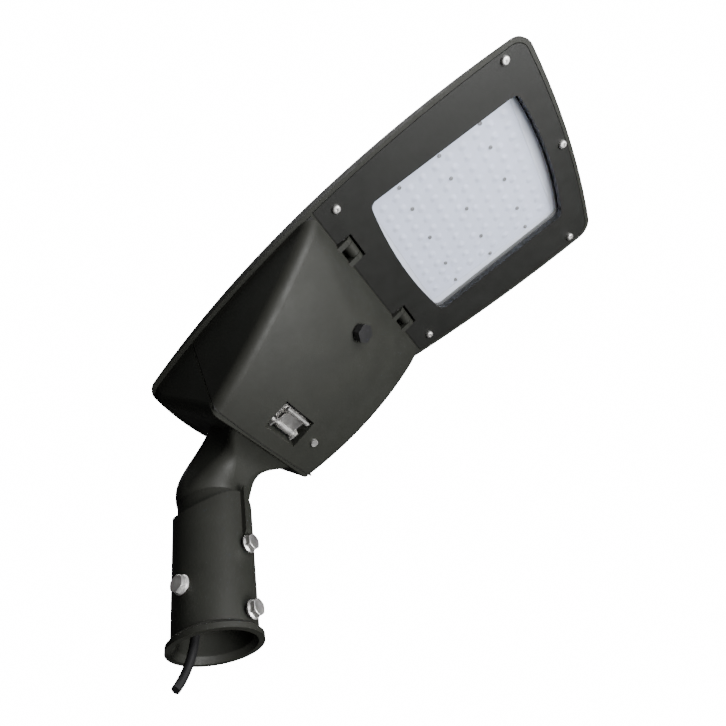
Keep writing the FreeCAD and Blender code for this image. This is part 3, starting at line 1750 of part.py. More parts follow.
HEAD_PIECES = {
    "housing": housing,
    "door": door,
    "door_gasket": door_gasket,
    "hinge_pins": hinge_pins,
    "latch_lever": latch_lever,
    "latch_spring": latch_spring,
    "latch_pin": latch_pin,
    "latch_bracket": latch_bracket,
    "bracket_rivets": rivets,
    "latch_keeper": latch_keeper,
    "keeper_screws": keeper_screws,
    "breather_plug": breather_plug,
    "breather_nut": breather_nut,
    "door_screw": door_screw,
    "door_nut": door_nut,
    "glass_frame": glass_frame,
    "frame_screws": frame_screws,
    "glass_gasket": glass_gasket,
    "glass": glass,
    "bezel": bezel,
    "lens_plate": lens_plate,
    "lens_screws": lens_screws,
    "led_board": led_board,
    "led_chips": led_chips,
    "thermal_pad": thermal_pad,
    "gear_tray": gear_tray,
    "tray_screws": tray_screws,
    "driver": driver,
    "driver_screws": driver_screws,
    "terminal_block": terminal_block,
    "terminal_screws": terminal_screws,
    "surge_protector": surge_protector,
    "surge_screws": surge_screws,
    "cable_clamp": cable_clamp,
    "clamp_screws": clamp_screws,
    "wire_grommet": bulkhead_grommet,
}
SLEEVE_PIECES = {
    "spigot_sleeve": spigot_sleeve,
    "clamp_bolts": clamp_bolts,
    "tilt_bolt": tilt_bolt_piece,
    "tilt_washer": tilt_washer,
    "tilt_nut": tilt_nut,
    "cable_grommet": cable_grommet,
    "supply_cable": supply_cable,
    "led_wires": led_wires,
    "mains_leads": mains_leads,
}


def seat(label, item, in_the_head):
    """Set a finished piece in its place under its node name."""
    item.Label = label + "_form"
    node = group(label + "_node", item)
    node.Label = label
    if in_the_head:
        turned(node, (0, -1, 0), "tilt")
        put(
            node,
            "pivot_z * sin(tilt) - pivot_x * cos(tilt)",
            "0",
            "pivot_height - pivot_x * sin(tilt) - pivot_z * cos(tilt)",
        )
    return node


nodes = [seat(label, item, True) for label, item in HEAD_PIECES.items()]
nodes += [seat(label, item, False) for label, item in SLEEVE_PIECES.items()]
doc.recompute()

faults = [item.Name for item in doc.Objects if "Invalid" in item.State or "Error" in item.State]
if faults:
    raise RuntimeError(f"these did not build: {faults}")
os.makedirs("parts", exist_ok=True)
for node in nodes:
    shape = node.Shape
    if shape.isNull() or not shape.isValid() or not shape.Solids:
        raise RuntimeError(f"{node.Label} has no sound shape")
    solids = shape.Solids
    whole = solids[0] if len(solids) == 1 else Part.makeCompound(solids)
    whole.exportStep(f"parts/{node.Label}.step")
    print(f"{node.Label}: {len(solids)} solid(s), {shape.Volume / 1000:.1f} cm3")
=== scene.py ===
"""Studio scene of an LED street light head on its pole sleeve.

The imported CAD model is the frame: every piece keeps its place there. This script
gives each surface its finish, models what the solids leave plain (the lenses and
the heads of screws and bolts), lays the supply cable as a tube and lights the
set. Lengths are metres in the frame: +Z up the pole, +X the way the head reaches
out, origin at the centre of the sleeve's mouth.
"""

import json
import logging
import math
from dataclasses import dataclass, field
from enum import Enum
from typing import Iterable, Sequence

import bmesh
import bpy
from mathutils import Matrix, Vector

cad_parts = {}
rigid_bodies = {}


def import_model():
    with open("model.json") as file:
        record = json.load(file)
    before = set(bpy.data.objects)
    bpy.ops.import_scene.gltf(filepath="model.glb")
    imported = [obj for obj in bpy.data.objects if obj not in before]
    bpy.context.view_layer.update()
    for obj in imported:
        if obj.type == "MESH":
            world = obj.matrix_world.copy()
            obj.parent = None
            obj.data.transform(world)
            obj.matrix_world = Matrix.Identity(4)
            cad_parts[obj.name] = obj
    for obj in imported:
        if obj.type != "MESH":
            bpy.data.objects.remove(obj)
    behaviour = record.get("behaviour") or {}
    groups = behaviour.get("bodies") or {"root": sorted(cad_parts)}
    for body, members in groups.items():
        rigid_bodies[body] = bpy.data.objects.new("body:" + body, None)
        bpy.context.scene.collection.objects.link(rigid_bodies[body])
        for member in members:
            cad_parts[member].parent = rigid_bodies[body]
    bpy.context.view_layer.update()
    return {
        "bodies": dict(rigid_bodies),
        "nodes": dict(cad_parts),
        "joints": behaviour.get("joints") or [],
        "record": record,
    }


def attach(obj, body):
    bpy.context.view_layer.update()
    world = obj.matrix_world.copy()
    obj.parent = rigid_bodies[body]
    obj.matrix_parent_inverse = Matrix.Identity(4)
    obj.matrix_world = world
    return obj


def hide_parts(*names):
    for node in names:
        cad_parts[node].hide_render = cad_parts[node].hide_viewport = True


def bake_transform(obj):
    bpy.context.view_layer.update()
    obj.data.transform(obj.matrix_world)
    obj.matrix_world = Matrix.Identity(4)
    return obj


LOG = logging.getLogger("street_light")

Point = tuple[float, float, float]
Spot = tuple[float, float]
Span = tuple[float, float]
Colour = tuple[float, float, float]
Ring = list[bmesh.types.BMVert]

WHITE = (1.0, 1.0, 1.0, 1.0)
NO_RADIUS = 1e-7


# finishes


class Slot(str, Enum):
    """The record's material slots."""

    HOUSING = "housing"
    FRAME = "frame"
    STEEL = "steel"
    ZINC = "zinc"
    SEAL = "seal"
    GLASS = "glass"
    LENS = "lens"
    BEZEL = "bezel"
    BOARD = "board"
    CHIP = "chip"
    PAD = "pad"
    TRAY = "tray"
    DRIVER = "driver"
    BLOCK = "block"
    BLACK = "black"
    CABLE = "cable"
    WIRE = "wire"


@dataclass(frozen=True)
class Finish:
    """How one kind of surface looks.

    Attributes:
        colour: base colour, linear.
        metallic: 0 for paint, plastic and glass, 1 for bare metal.
        roughness: mean roughness.
        spread: how far the roughness wanders up and down.
        mottle: how far the brightness wanders, as a share.
        mottle_size: size of those patches, in metres.
        grain: height of the fine surface grain, in metres; 0 for none.
        grain_size: size of the grain, in metres.
        alpha: 1 for opaque.
        specular: strength of the surface's own reflection.
    """

    colour: Colour
    metallic: float = 0.0
    roughness: float = 0.5
    spread: float = 0.05
    mottle: float = 0.05
    mottle_size: float = 0.03
    grain: float = 0.0
    grain_size: float = 0.001
    alpha: float = 1.0
    specular: float = 0.5


FINISHES: dict[Slot, Finish] = {
    Slot.HOUSING: Finish(
        (0.025, 0.026, 0.0215),
        roughness=0.56, mottle=0.07, specular=0.4, grain=0.00006, grain_size=0.0011,
    ),
    Slot.FRAME: Finish(
        (0.016, 0.0165, 0.0150),
        roughness=0.50, mottle=0.06, specular=0.4, grain=0.00006, grain_size=0.0011,
    ),
    Slot.STEEL: Finish(
        (0.90, 0.89, 0.87),
        metallic=1.0, roughness=0.50, spread=0.10, grain=0.00002, grain_size=0.0006,
    ),
    Slot.ZINC: Finish(
        (0.74, 0.75, 0.77),
        metallic=1.0, roughness=0.34, spread=0.12, mottle=0.12, mottle_size=0.004,
    ),
    Slot.SEAL: Finish((0.018, 0.018, 0.018), roughness=0.72),
    Slot.GLASS: Finish((0.90, 0.94, 0.97), roughness=0.04, spread=0.015, mottle=0.01, alpha=0.10),
    Slot.LENS: Finish((0.74, 0.80, 1.0), roughness=0.38, mottle=0.02),
    Slot.BEZEL: Finish((0.80, 0.85, 1.0), roughness=0.50),
    Slot.BOARD: Finish((0.80, 0.80, 0.78), roughness=0.35),
    Slot.CHIP: Finish((0.85, 0.62, 0.10), roughness=0.40),
    Slot.PAD: Finish((0.30, 0.30, 0.32), roughness=0.70),
    Slot.TRAY: Finish(
        (0.56, 0.57, 0.58),
        metallic=1.0, roughness=0.38, spread=0.10, mottle=0.15, mottle_size=0.008,
    ),
    Slot.DRIVER: Finish((0.50, 0.50, 0.49), roughness=0.50, grain=0.00003),
    Slot.BLOCK: Finish((0.72, 0.72, 0.68), roughness=0.42),
    Slot.BLACK: Finish((0.020, 0.020, 0.021), roughness=0.42, grain=0.00003),
    Slot.CABLE: Finish((0.012, 0.012, 0.013), roughness=0.55, grain=0.00003, grain_size=0.0008),
    Slot.WIRE: Finish((0.45, 0.03, 0.02), roughness=0.38),
}

# Steel darkened to a dark grey: painted shade standing in for the shadow in the lens screws'
# pockets.
LENS_SCREW_PAINTED_SHADE = Finish(
    (0.20, 0.20, 0.21),
    metallic=1.0, roughness=0.50, spread=0.10, mottle=0.10, mottle_size=0.002,
)


class Paintbox:
    """Makes materials whose patterns read Object coordinates.

    Attributes:
        MOTTLE_DETAIL: detail of the noise that moves the brightness.
        MOTTLE_READ: the span of that noise that is read.
        SPREAD_DETAIL: detail of the noise that moves the roughness.
        SPREAD_READ: the span of that noise that is read.
        SPREAD_SIZE: size of the roughness patches, as a share of the brightness patches.
        GRAIN_DETAIL: detail of the surface grain.
    """

    MOTTLE_DETAIL = 4.0
    MOTTLE_READ: Span = (0.35, 0.65)
    SPREAD_DETAIL = 3.0
    SPREAD_READ: Span = (0.3, 0.7)
    SPREAD_SIZE = 0.4
    GRAIN_DETAIL = 2.0

    def __init__(self, finishes: dict[Slot, Finish]) -> None:
        """Keep the finishes that the slots stand for."""
        self._finishes = finishes
        self._made: dict[Slot, bpy.types.Material] = {}

    def material(self, slot: Slot) -> bpy.types.Material:
        """Return a slot's material.

        Args:
            slot: the record's material slot.

        Returns:
            The material, made on first use.
        """
        if slot not in self._made:
            self._made[slot] = self.make(slot.value, self._finishes[slot])
        return self._made[slot]

    def make(self, name: str, finish: Finish) -> bpy.types.Material:
        """Make one material from a finish.

        Args:
            name: the material's name.
            finish: how it looks.

        Returns:
            A new principled material.
        """
        material = bpy.data.materials.new(name)
        material.use_nodes = True
        tree = material.node_tree
        shader = tree.nodes["Principled BSDF"]
        for socket, constant in (
            ("Base Color", (*finish.colour, 1.0)),
            ("Metallic", finish.metallic),
            ("Roughness", finish.roughness),
            ("Alpha", finish.alpha),
            ("Specular IOR Level", finish.specular),
        ):
            shader.inputs[socket].default_value = constant
        coords = tree.nodes.new("ShaderNodeTexCoord")
        if finish.mottle:
            noise = self._noise(tree, coords, finish.mottle_size, self.MOTTLE_DETAIL)
            about = (1.0 - finish.mottle, 1.0 + finish.mottle)
            level = self._mapped(tree, noise, self.MOTTLE_READ, about)
            shade = tree.nodes.new("ShaderNodeVectorMath")
            shade.operation = "SCALE"
            shade.inputs[0].default_value = finish.colour
            tree.links.new(level, shade.inputs["Scale"])
            tree.links.new(shade.outputs["Vector"], shader.inputs["Base Color"])
        if finish.spread:
            size = finish.mottle_size * self.SPREAD_SIZE
            noise = self._noise(tree, coords, size, self.SPREAD_DETAIL)
            about = (finish.roughness - finish.spread, finish.roughness + finish.spread)
            level = self._mapped(tree, noise, self.SPREAD_READ, about)
            tree.links.new(level, shader.inputs["Roughness"])
        if finish.grain:
            noise = self._noise(tree, coords, finish.grain_size, self.GRAIN_DETAIL)
            bump = tree.nodes.new("ShaderNodeBump")
            bump.inputs["Strength"].default_value = 1.0
            bump.inputs["Distance"].default_value = finish.grain
            tree.links.new(noise, bump.inputs["Height"])
            tree.links.new(bump.outputs["Normal"], shader.inputs["Normal"])
        return material

    @staticmethod
    def _noise(
        tree: bpy.types.NodeTree, coords: bpy.types.Node, size: float, detail: float
    ) -> bpy.types.NodeSocket:
        """Add a noise of a real size on Object coordinates.

        Args:
            tree: the material's nodes.
            coords: its texture coordinates.
            size: size of the noise, in metres.
            detail: how many finer layers it has.

        Returns:
            The socket that gives its value.
        """
        noise = tree.nodes.new("ShaderNodeTexNoise")
        noise.inputs["Scale"].default_value = 1.0 / size
        noise.inputs["Detail"].default_value = detail
        tree.links.new(coords.outputs["Object"], noise.inputs["Vector"])
        return noise.outputs["Fac"]

    @staticmethod
    def _mapped(
        tree: bpy.types.NodeTree, value: bpy.types.NodeSocket, read: Span, give: Span
    ) -> bpy.types.NodeSocket:
        """Map a span of a value onto another span.

        Args:
            tree: the material's nodes.
            value: the socket that gives the value.
            read: the span that is read.
            give: the span that it is mapped onto.

        Returns:
            The socket that gives the mapped value.
        """
        ramp = tree.nodes.new("ShaderNodeMapRange")
        for socket, end in zip(("From Min", "From Max", "To Min", "To Max"), (*read, *give)):
            ramp.inputs[socket].default_value = end
        tree.links.new(value, ramp.inputs["Value"])
        return ramp.outputs["Result"]


# rings and meshes


def circle(form: bmesh.types.BMesh, radius: float, height: float, sides: int) -> Ring:
    """Add a ring of vertices round Z, or one vertex where the radius is nothing.

    Args:
        form: the mesh that is being modelled.
        radius: the ring's radius.
        height: its height.
        sides: how many vertices it has.

    Returns:
        The ring.
    """
    if radius < NO_RADIUS:
        return [form.verts.new((0, 0, height))]
    angles = (2 * math.pi * k / sides for k in range(sides))
    return [form.verts.new((radius * math.cos(a), radius * math.sin(a), height)) for a in angles]


def hexagon(form: bmesh.types.BMesh, corner: float, height: float, sides: int) -> Ring:
    """Add a hexagon that has as many vertices as a circle of that many sides.

    Args:
        form: the mesh that is being modelled.
        corner: radius at its corners.
        height: its height.
        sides: how many vertices it has.

    Returns:
        The ring.
    """
    ring = []
    for k in range(sides):
        a = 2 * math.pi * k / sides
        radius = corner * math.cos(math.pi / 6) / math.cos(a % (math.pi / 3) - math.pi / 6)
        ring.append(form.verts.new((radius * math.cos(a), radius * math.sin(a), height)))
    return ring


def blend(form: bmesh.types.BMesh, ring: Ring, radius: float, share: float, height: float) -> Ring:
    """Add a ring that is some share of the way from another one to a circle.

    Args:
        form: the mesh that is being modelled.
        ring: the ring that it starts from.
        radius: the circle's radius.
        share: 0 for the ring's own shape, 1 for the circle.
        height: the new ring's height.

    Returns:
        The new ring.
    """
    made = []
    for k, vert in enumerate(ring):
        a = 2 * math.pi * k / len(ring)
        x = vert.co.x * (1 - share) + radius * math.cos(a) * share
        y = vert.co.y * (1 - share) + radius * math.sin(a) * share
        made.append(form.verts.new((x, y, height)))
    return made


def rectangle(form: bmesh.types.BMesh, along: Span, across: Span, height: float) -> Ring:
    """Add the four corners of a rectangle.

    Args:
        form: the mesh that is being modelled.
        along: its span in X.
        across: its span in Y.
        height: its height.

    Returns:
        The ring.
    """
    (near, far), (low, high) = along, across
    corners = ((near, low), (far, low), (far, high), (near, high))
    return [form.verts.new((x, y, height)) for x, y in corners]


def skin(form: bmesh.types.BMesh, rings: Sequence[Ring]) -> None:
    """Join rings one after the other with faces and close both ends.

    Args:
        form: the mesh that is being modelled.
        rings: the rings in order, all with as many vertices or with one.
    """
    for low, high in zip(rings, rings[1:]):
        sides = max(len(low), len(high))
        for k in range(sides):
            nxt = (k + 1) % sides
            if len(low) == 1:
                form.faces.new((low[0], high[nxt], high[k]))
            elif len(high) == 1:
                form.faces.new((low[k], low[nxt], high[0]))
            else:
                form.faces.new((low[k], low[nxt], high[nxt], high[k]))
    for end in (rings[0], rings[-1]):
        if len(end) > 2:
            form.faces.new(end)
    bmesh.ops.recalc_face_normals(form, faces=form.faces)


def finished(form: bmesh.types.BMesh, name: str, sharp: float = 35.0) -> bpy.types.Mesh:
    """Turn what was modelled into a mesh with smooth faces and sharp edges.

    Args:
        form: what was modelled; it is used up.
        name: the mesh's name.
        sharp: an edge is sharp above this angle, in degrees.

    Returns:
        The mesh.
    """
    for face in form.faces:
        face.smooth = True
    for edge in form.edges:
        if len(edge.link_faces) == 2 and edge.calc_face_angle(0.0) > math.radians(sharp):
            edge.smooth = False
    mesh = bpy.data.meshes.new(name)
    form.to_mesh(mesh)
    form.free()
    return mesh


def lathe(name: str, profile: Sequence[tuple[float, float]], sides: int) -> bpy.types.Mesh:
    """Turn a profile of (radius, height) pairs once round Z.

    Args:
        name: the mesh's name.
        profile: the pairs, from the bottom to the top.
        sides: how many steps there are in the turn.

    Returns:
        A closed mesh.
    """
    form = bmesh.new()
    skin(form, [circle(form, radius, height, sides) for radius, height in profile])
    return finished(form, name)


def linked(obj: bpy.types.Object) -> bpy.types.Object:
    """Put an object in the scene and return it."""
    bpy.context.scene.collection.objects.link(obj)
    return obj


# screws and bolts


@dataclass(frozen=True)
class FlangedBolt:
    """A flanged hexagon bolt that stands out along +X, its flange's seat at x = 0.

    Attributes:
        depth: length of the shank below the seat.
        shank: radius of the shank.
        flange: radius of the flange.
        flange_rim: height of the flange's rim.
        chamfer: bevel on the flange's rim.
        foot: height at which the hexagon starts.
        across: width of the hexagon across flats.
        height: how far the head stands above the seat.
        crown: how far the head's top falls towards its corners.
        taper: how far the top's edge draws in, as a share of the hexagon's corner.
        crown_steps: rings in the crown.
        sides: vertices in a ring.
        sharp: an edge is sharp above this angle, in degrees.
    """

    depth: float
    shank: float = 0.004
    flange: float = 0.008
    flange_rim: float = 0.0012
    chamfer: float = 0.0004
    foot: float = 0.0024
    across: float = 0.013
    height: float = 0.007
    crown: float = 0.0014
    taper: float = 0.22
    crown_steps: int = 4
    sides: int = 48
    sharp: float = 24.0

    def mesh(self) -> bpy.types.Mesh:
        """Model the bolt.

        Returns:
            A closed mesh.
        """
        form = bmesh.new()
        sides = self.sides
        corner = self.across / math.sqrt(3)
        rings = [
            circle(form, self.shank, -self.depth, sides),
            circle(form, self.shank, 0.0, sides),
            circle(form, self.flange - self.chamfer, 0.0, sides),
            circle(form, self.flange, self.chamfer, sides),
            circle(form, self.flange, self.flange_rim, sides),
            circle(form, self.flange - self.chamfer, self.flange_rim + self.chamfer, sides),
            hexagon(form, corner, self.foot, sides),
        ]
        rim = hexagon(form, corner, self.height - self.crown, sides)
        rings.append(rim)
        for step in range(1, self.crown_steps + 1):
            share = step / self.crown_steps
            rise = self.height - self.crown * (1 - share) ** 2
            rings.append(blend(form, rim, corner * (1.0 - self.taper * share), share, rise))
        rings.append(circle(form, 0.0, self.height, sides))
        skin(form, rings)
        turn = Matrix.Rotation(math.pi / 2, 3, "Y")
        bmesh.ops.rotate(form, verts=form.verts, cent=(0, 0, 0), matrix=turn)
        return finished(form, "clamp_bolt", self.sharp)


@dataclass(frozen=True)
class SocketScrew:
    """A rounded screw head, pointing down from z = 0, with a hexagon socket.

    Attributes:
        name: the mesh's name.
        radius: radius of the head.
        height: how far the head stands down.
        socket: radius of the socket at its corners.
        depth: depth of the socket.
        wall: share of the height below the rounding.
        flat: share of the radius inside the rounding.
        steps: rings in the rounding.
        sides: vertices in a ring.
        sharp: an edge is sharp above this angle, in degrees.
    """

    name: str
    radius: float
    height: float
    socket: float
    depth: float
    wall: float = 0.35
    flat: float = 0.62
    steps: int = 5
    sides: int = 36
    sharp: float = 28.0

    def mesh(self) -> bpy.types.Mesh:
        """Model the head.

        Returns:
            A closed mesh.
        """
        form = bmesh.new()
        sides = self.sides
        rings = [
            circle(form, self.radius, 0.0, sides),
            circle(form, self.radius, -self.wall * self.height, sides),
        ]
        for step in range(1, self.steps + 1):
            a = math.pi / 2 * step / self.steps
            reach = self.radius * (self.flat + (1 - self.flat) * math.cos(a))
            drop = self.height * (self.wall + (1 - self.wall) * math.sin(a))
            rings.append(circle(form, reach, -drop, sides))
        rings.append(hexagon(form, self.socket, -self.height, sides))
        rings.append(hexagon(form, self.socket, -self.height + self.depth, sides))
        skin(form, rings)
        return finished(form, self.name, self.sharp)


# repeats by geometry nodes


def repeater() -> bpy.types.GeometryNodeTree:
    """Build the node group that sets a form on every point and paints it.

    Returns:
        The group, with the form and the material as named inputs.
    """
    tree = bpy.data.node_groups.new("repeat_on_points", "GeometryNodeTree")
    face = tree.interface
    face.new_socket("Geometry", in_out="INPUT", socket_type="NodeSocketGeometry")
    face.new_socket("Form", in_out="INPUT", socket_type="NodeSocketObject")
    face.new_socket("Material", in_out="INPUT", socket_type="NodeSocketMaterial")
    face.new_socket("Geometry", in_out="OUTPUT", socket_type="NodeSocketGeometry")
    start = tree.nodes.new("NodeGroupInput")
    end = tree.nodes.new("NodeGroupOutput")
    info = tree.nodes.new("GeometryNodeObjectInfo")
    spread = tree.nodes.new("GeometryNodeInstanceOnPoints")
    real = tree.nodes.new("GeometryNodeRealizeInstances")
    paint = tree.nodes.new("GeometryNodeSetMaterial")
    link = tree.links.new
    link(start.outputs["Geometry"], spread.inputs["Points"])
    link(start.outputs["Form"], info.inputs["Object"])
    link(info.outputs["Geometry"], spread.inputs["Instance"])
    link(spread.outputs["Instances"], real.inputs["Geometry"])
    link(real.outputs["Geometry"], paint.inputs["Geometry"])
    link(start.outputs["Material"], paint.inputs["Material"])
    link(paint.outputs["Geometry"], end.inputs["Geometry"])
    return tree


class Repeater:
    """Sets a form on points with Geometry Nodes and keeps the result as a mesh."""

    def __init__(self) -> None:
        """Build the node group and note its inputs' identifiers."""
        self._tree = repeater()
        self._socket: dict[str, str] = {
            item.name: item.identifier
            for item in self._tree.interface.items_tree
            if item.in_out == "INPUT"
        }

    def repeat(
        self,
        name: str,
        form: bpy.types.Mesh,
        points: Iterable[Point],
        material: bpy.types.Material,
        place: Matrix,
    ) -> bpy.types.Object:
        """Repeat a form.

        Args:
            name: the finished object's name.
            form: the mesh to repeat.
            points: where it goes, in the axes that `place` maps into the frame.
            material: the material of every copy.
            place: the move into the frame.

        Returns:
            One object at the origin with every copy in its mesh.
        """
        cloud = bpy.data.meshes.new(name + "_points")
        cloud.from_pydata(list(points), [], [])
        carrier = linked(bpy.data.objects.new(name + "_carrier", cloud))
        prototype = linked(bpy.data.objects.new(name + "_form", form))
        modifier = carrier.modifiers.new("repeat", "NODES")
        modifier.node_group = self._tree
        modifier[self._socket["Form"]] = prototype
        modifier[self._socket["Material"]] = material
        bpy.context.view_layer.update()
        graph = bpy.context.evaluated_depsgraph_get()
        mesh = bpy.data.meshes.new_from_object(carrier.evaluated_get(graph))
        mesh.transform(place)
        mesh.name = name
        carrier.modifiers.clear()
        for spare in (carrier, prototype):
            bpy.data.objects.remove(spare)
        return linked(bpy.data.objects.new(name, mesh))


# sub-assemblies


@dataclass(frozen=True)
class HeadAxes:
    """Where the head's own axes stand in the frame.

    Attributes:
        tilt: how far the head rises from level, in degrees.
        pivot: the tilt joint, in the frame.
        pivot_in_head: the tilt joint, in the head's axes.
    """

    tilt: float = 10.0
    pivot: Point = (0.0, 0.0, 0.163)
    pivot_in_head: Point = (-0.2424, 0.0, -0.0822)

    def matrix(self) -> Matrix:
        """Return the move from the head's own axes to the frame.

        Returns:
            The move.
        """
        turn = Matrix.Rotation(-math.radians(self.tilt), 4, "Y")
        back = Matrix.Translation(-Vector(self.pivot_in_head))
        return Matrix.Translation(Vector(self.pivot)) @ turn @ back


@dataclass
class Workshop:
    """What every sub-assembly needs.

    Attributes:
        paint: the materials.
        repeats: the Geometry Nodes repeater.
        head: the move from the head's axes to the frame.
    """

    frame: dict
    paint: Paintbox
    repeats: Repeater
    head: Matrix = field(default_factory=HeadAxes().matrix)

    def adopt(
        self, obj: bpy.types.Object, body: str, slot: Slot, *replaced: str
    ) -> bpy.types.Object:
        """Let a finished piece ride a body and stand for CAD nodes.

        Args:
            obj: the piece.
            body: the body that it rides on.
            slot: its material slot, whose material it gets if it has none.
            *replaced: the CAD nodes that it stands for.

        Returns:
            The same piece.
        """
        if not obj.data.materials:
            obj.data.materials.append(self.paint.material(slot))
        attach(obj, body)
        if replaced:
            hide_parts(*replaced)
        LOG.info("%s rides on %s for %s", obj.name, body, ", ".join(replaced))
        return obj


@dataclass
class CadFinishes:
    """The finishes of the CAD nodes.

    Attributes:
        shop: what every sub-assembly needs.
    """

    shop: Workshop

    def build(self) -> None:
        """Put each slot's material on the nodes that the record lists for it."""
        for entry in self.shop.frame["record"]["subparts"]:
            node = self.shop.frame["nodes"][entry["node"]]
            material = self.shop.paint.material(Slot(entry["material_slot"]))
            node.data.materials.clear()
            node.data.materials.append(material)
            LOG.info("%s is finished as %s", entry["node"], entry["material_slot"])


@dataclass
class LensPlate:
    """The lens plate: a hollow sheet with its hundred smooth lenses.

    Places are in the head's axes, where the glass frame's face is at height 0.

    Attributes:
        shop: what every sub-assembly needs.
        rows: lenses each way.
        pitch_x: lens spacing along the head.
        pitch_y: lens spacing across the head.
        lens_radius: radius of one lens.
        lens_bite: how far a lens reaches into the sheet.
        lens_steps: rings on a lens, from its tip to its foot.
        lens_sides: vertices in such a ring.
        tip: height of a lens's tip.
        face: height of the sheet's lower face.
        sheet: thickness of the sheet.
        board: height of the board, which the plate's rim rests on.
        near: the plate's end by the gear door.
        far: its other end.
        half: half of its width.
        rim: thickness of its rim.
    """

    shop: Workshop
    rows: int = 10
    pitch_x: float = 0.01617
    pitch_y: float = 0.014
    lens_radius: float = 0.0056
    lens_bite: float = 0.0002
    lens_steps: int = 9
    lens_sides: int = 24
    tip: float = 0.0122
    face: float = 0.0134
    sheet: float = 0.0016
    board: float = 0.0159
    near: float = 0.0475
    far: float = 0.2145
    half: float = 0.0755
    rim: float = 0.0035

    @property
    def middle(self) -> float:
        """Return the middle of the plate along the head."""
        return (self.near + self.far) / 2

    def _dome(self) -> bpy.types.Mesh:
        """Model one lens: a low dome, pointing down, whose foot flows into the sheet.

        Returns:
            A closed mesh with its tip at the origin.
        """
        rise = self.face - self.tip
        profile = []
        for step in range(self.lens_steps + 1):
            share = step / self.lens_steps
            height = rise * (1 - math.cos(math.pi * share)) / 2
            profile.append((self.lens_radius * share, height))
        profile.append((self.lens_radius, rise + self.lens_bite))
        return lathe("lens_dome", profile, self.lens_sides)

    def _sheet(self, form: bmesh.types.BMesh) -> None:
        """Model the sheet, open towards the board, its rim resting on it.

        Args:
            form: the mesh that is being modelled.
        """
        outer = ((self.near, self.far), (-self.half, self.half))
        inner_half = self.half - self.rim
        inner = ((self.near + self.rim, self.far - self.rim), (-inner_half, inner_half))
        skin(
            form,
            [
                rectangle(form, *inner, self.face + self.sheet),
                rectangle(form, *inner, self.board),
                rectangle(form, *outer, self.board),
                rectangle(form, *outer, self.face),
            ],
        )

    def build(self) -> bpy.types.Object:
        """Model the sheet and set the lenses on it.

        Returns:
            The finished plate.
        """
        first_x = self.middle - (self.rows - 1) / 2 * self.pitch_x
        first_y = -(self.rows - 1) / 2 * self.pitch_y
        points = [
            (first_x + i * self.pitch_x, first_y + j * self.pitch_y, self.tip)
            for i in range(self.rows)
            for j in range(self.rows)
        ]
        paint = self.shop.paint.material(Slot.LENS)
        domes = self.shop.repeats.repeat("lens_domes", self._dome(), points, paint, self.shop.head)
        form = bmesh.new()
        self._sheet(form)
        bmesh.ops.transform(form, matrix=self.shop.head, verts=form.verts)
        form.from_mesh(domes.data)
        bpy.data.objects.remove(domes)
        plate = linked(bpy.data.objects.new("lens_plate_form", finished(form, "lens_plate_form")))
        return self.shop.adopt(plate, "head", Slot.LENS, "lens_plate")


@dataclass
class FrameScrews:
    """The five screws that hold the glass frame.

    Attributes:
        shop: what every sub-assembly needs.
        spots: where they are, along and across the head.
        face: height of the frame's face in the head's axes.
        screw: the head of one of them.
    """

    shop: Workshop
    spots: tuple[Spot, ...] = (
        (0.0206, 0.1035),
        (0.0206, -0.1035),
        (0.2171, 0.1136),
        (0.2171, -0.1136),
        (0.2427, 0.0),
    )
    face: float = 0.0
    screw: SocketScrew = SocketScrew(
        "frame_screw_head", radius=0.0042, height=0.0030, socket=0.0015, depth=0.0016
    )

    def build(self) -> bpy.types.Object:
        """Model the screw heads and set them on the frame.

        Returns:
            The finished heads.
        """
        heads = self.shop.repeats.repeat(
            "frame_screw_heads",
            self.screw.mesh(),
            [(x, y, self.face) for x, y in self.spots],
            self.shop.paint.material(Slot.STEEL),
            self.shop.head,
        )
        return self.shop.adopt(heads, "head", Slot.STEEL, "frame_screws")


@dataclass
class LensScrews:
    """The fifteen small screws that hold the lens plate, their steel darkened as painted shade for
    the pockets they sit in.

    Attributes:
        shop: what every sub-assembly needs.
        plate: the lens plate that they sit on.
        pitch: their spacing along the head.
        columns: their columns along the head, counted from the plate's middle.
        rows: their places across the head.
        screw: the head of one of them.
    """

    shop: Workshop
    plate: LensPlate
    pitch: float = 0.0485
    columns: tuple[int, ...] = (-1, 0, 1)
    rows: tuple[float, ...] = (-0.071, -0.042, 0.0, 0.042, 0.071)
    screw: SocketScrew = SocketScrew(
        "lens_screw_head", radius=0.0021, height=0.0016, socket=0.0013, depth=0.0012
    )

    def build(self) -> bpy.types.Object:
        """Model the screw heads and set them on the lens plate.

        Returns:
            The finished heads.
        """
        heads = self.shop.repeats.repeat(
            "lens_screw_heads",
            self.screw.mesh(),
            [
                (self.plate.middle + column * self.pitch, y, self.plate.face)
                for column in self.columns
                for y in self.rows
            ],
            # The darkened steel is painted shade: it stands in for the shadow in the screws'
            # pockets.
            self.shop.paint.make("dark_steel", LENS_SCREW_PAINTED_SHADE),
            self.shop.head,
        )
        return self.shop.adopt(heads, "head", Slot.STEEL, "lens_screws")


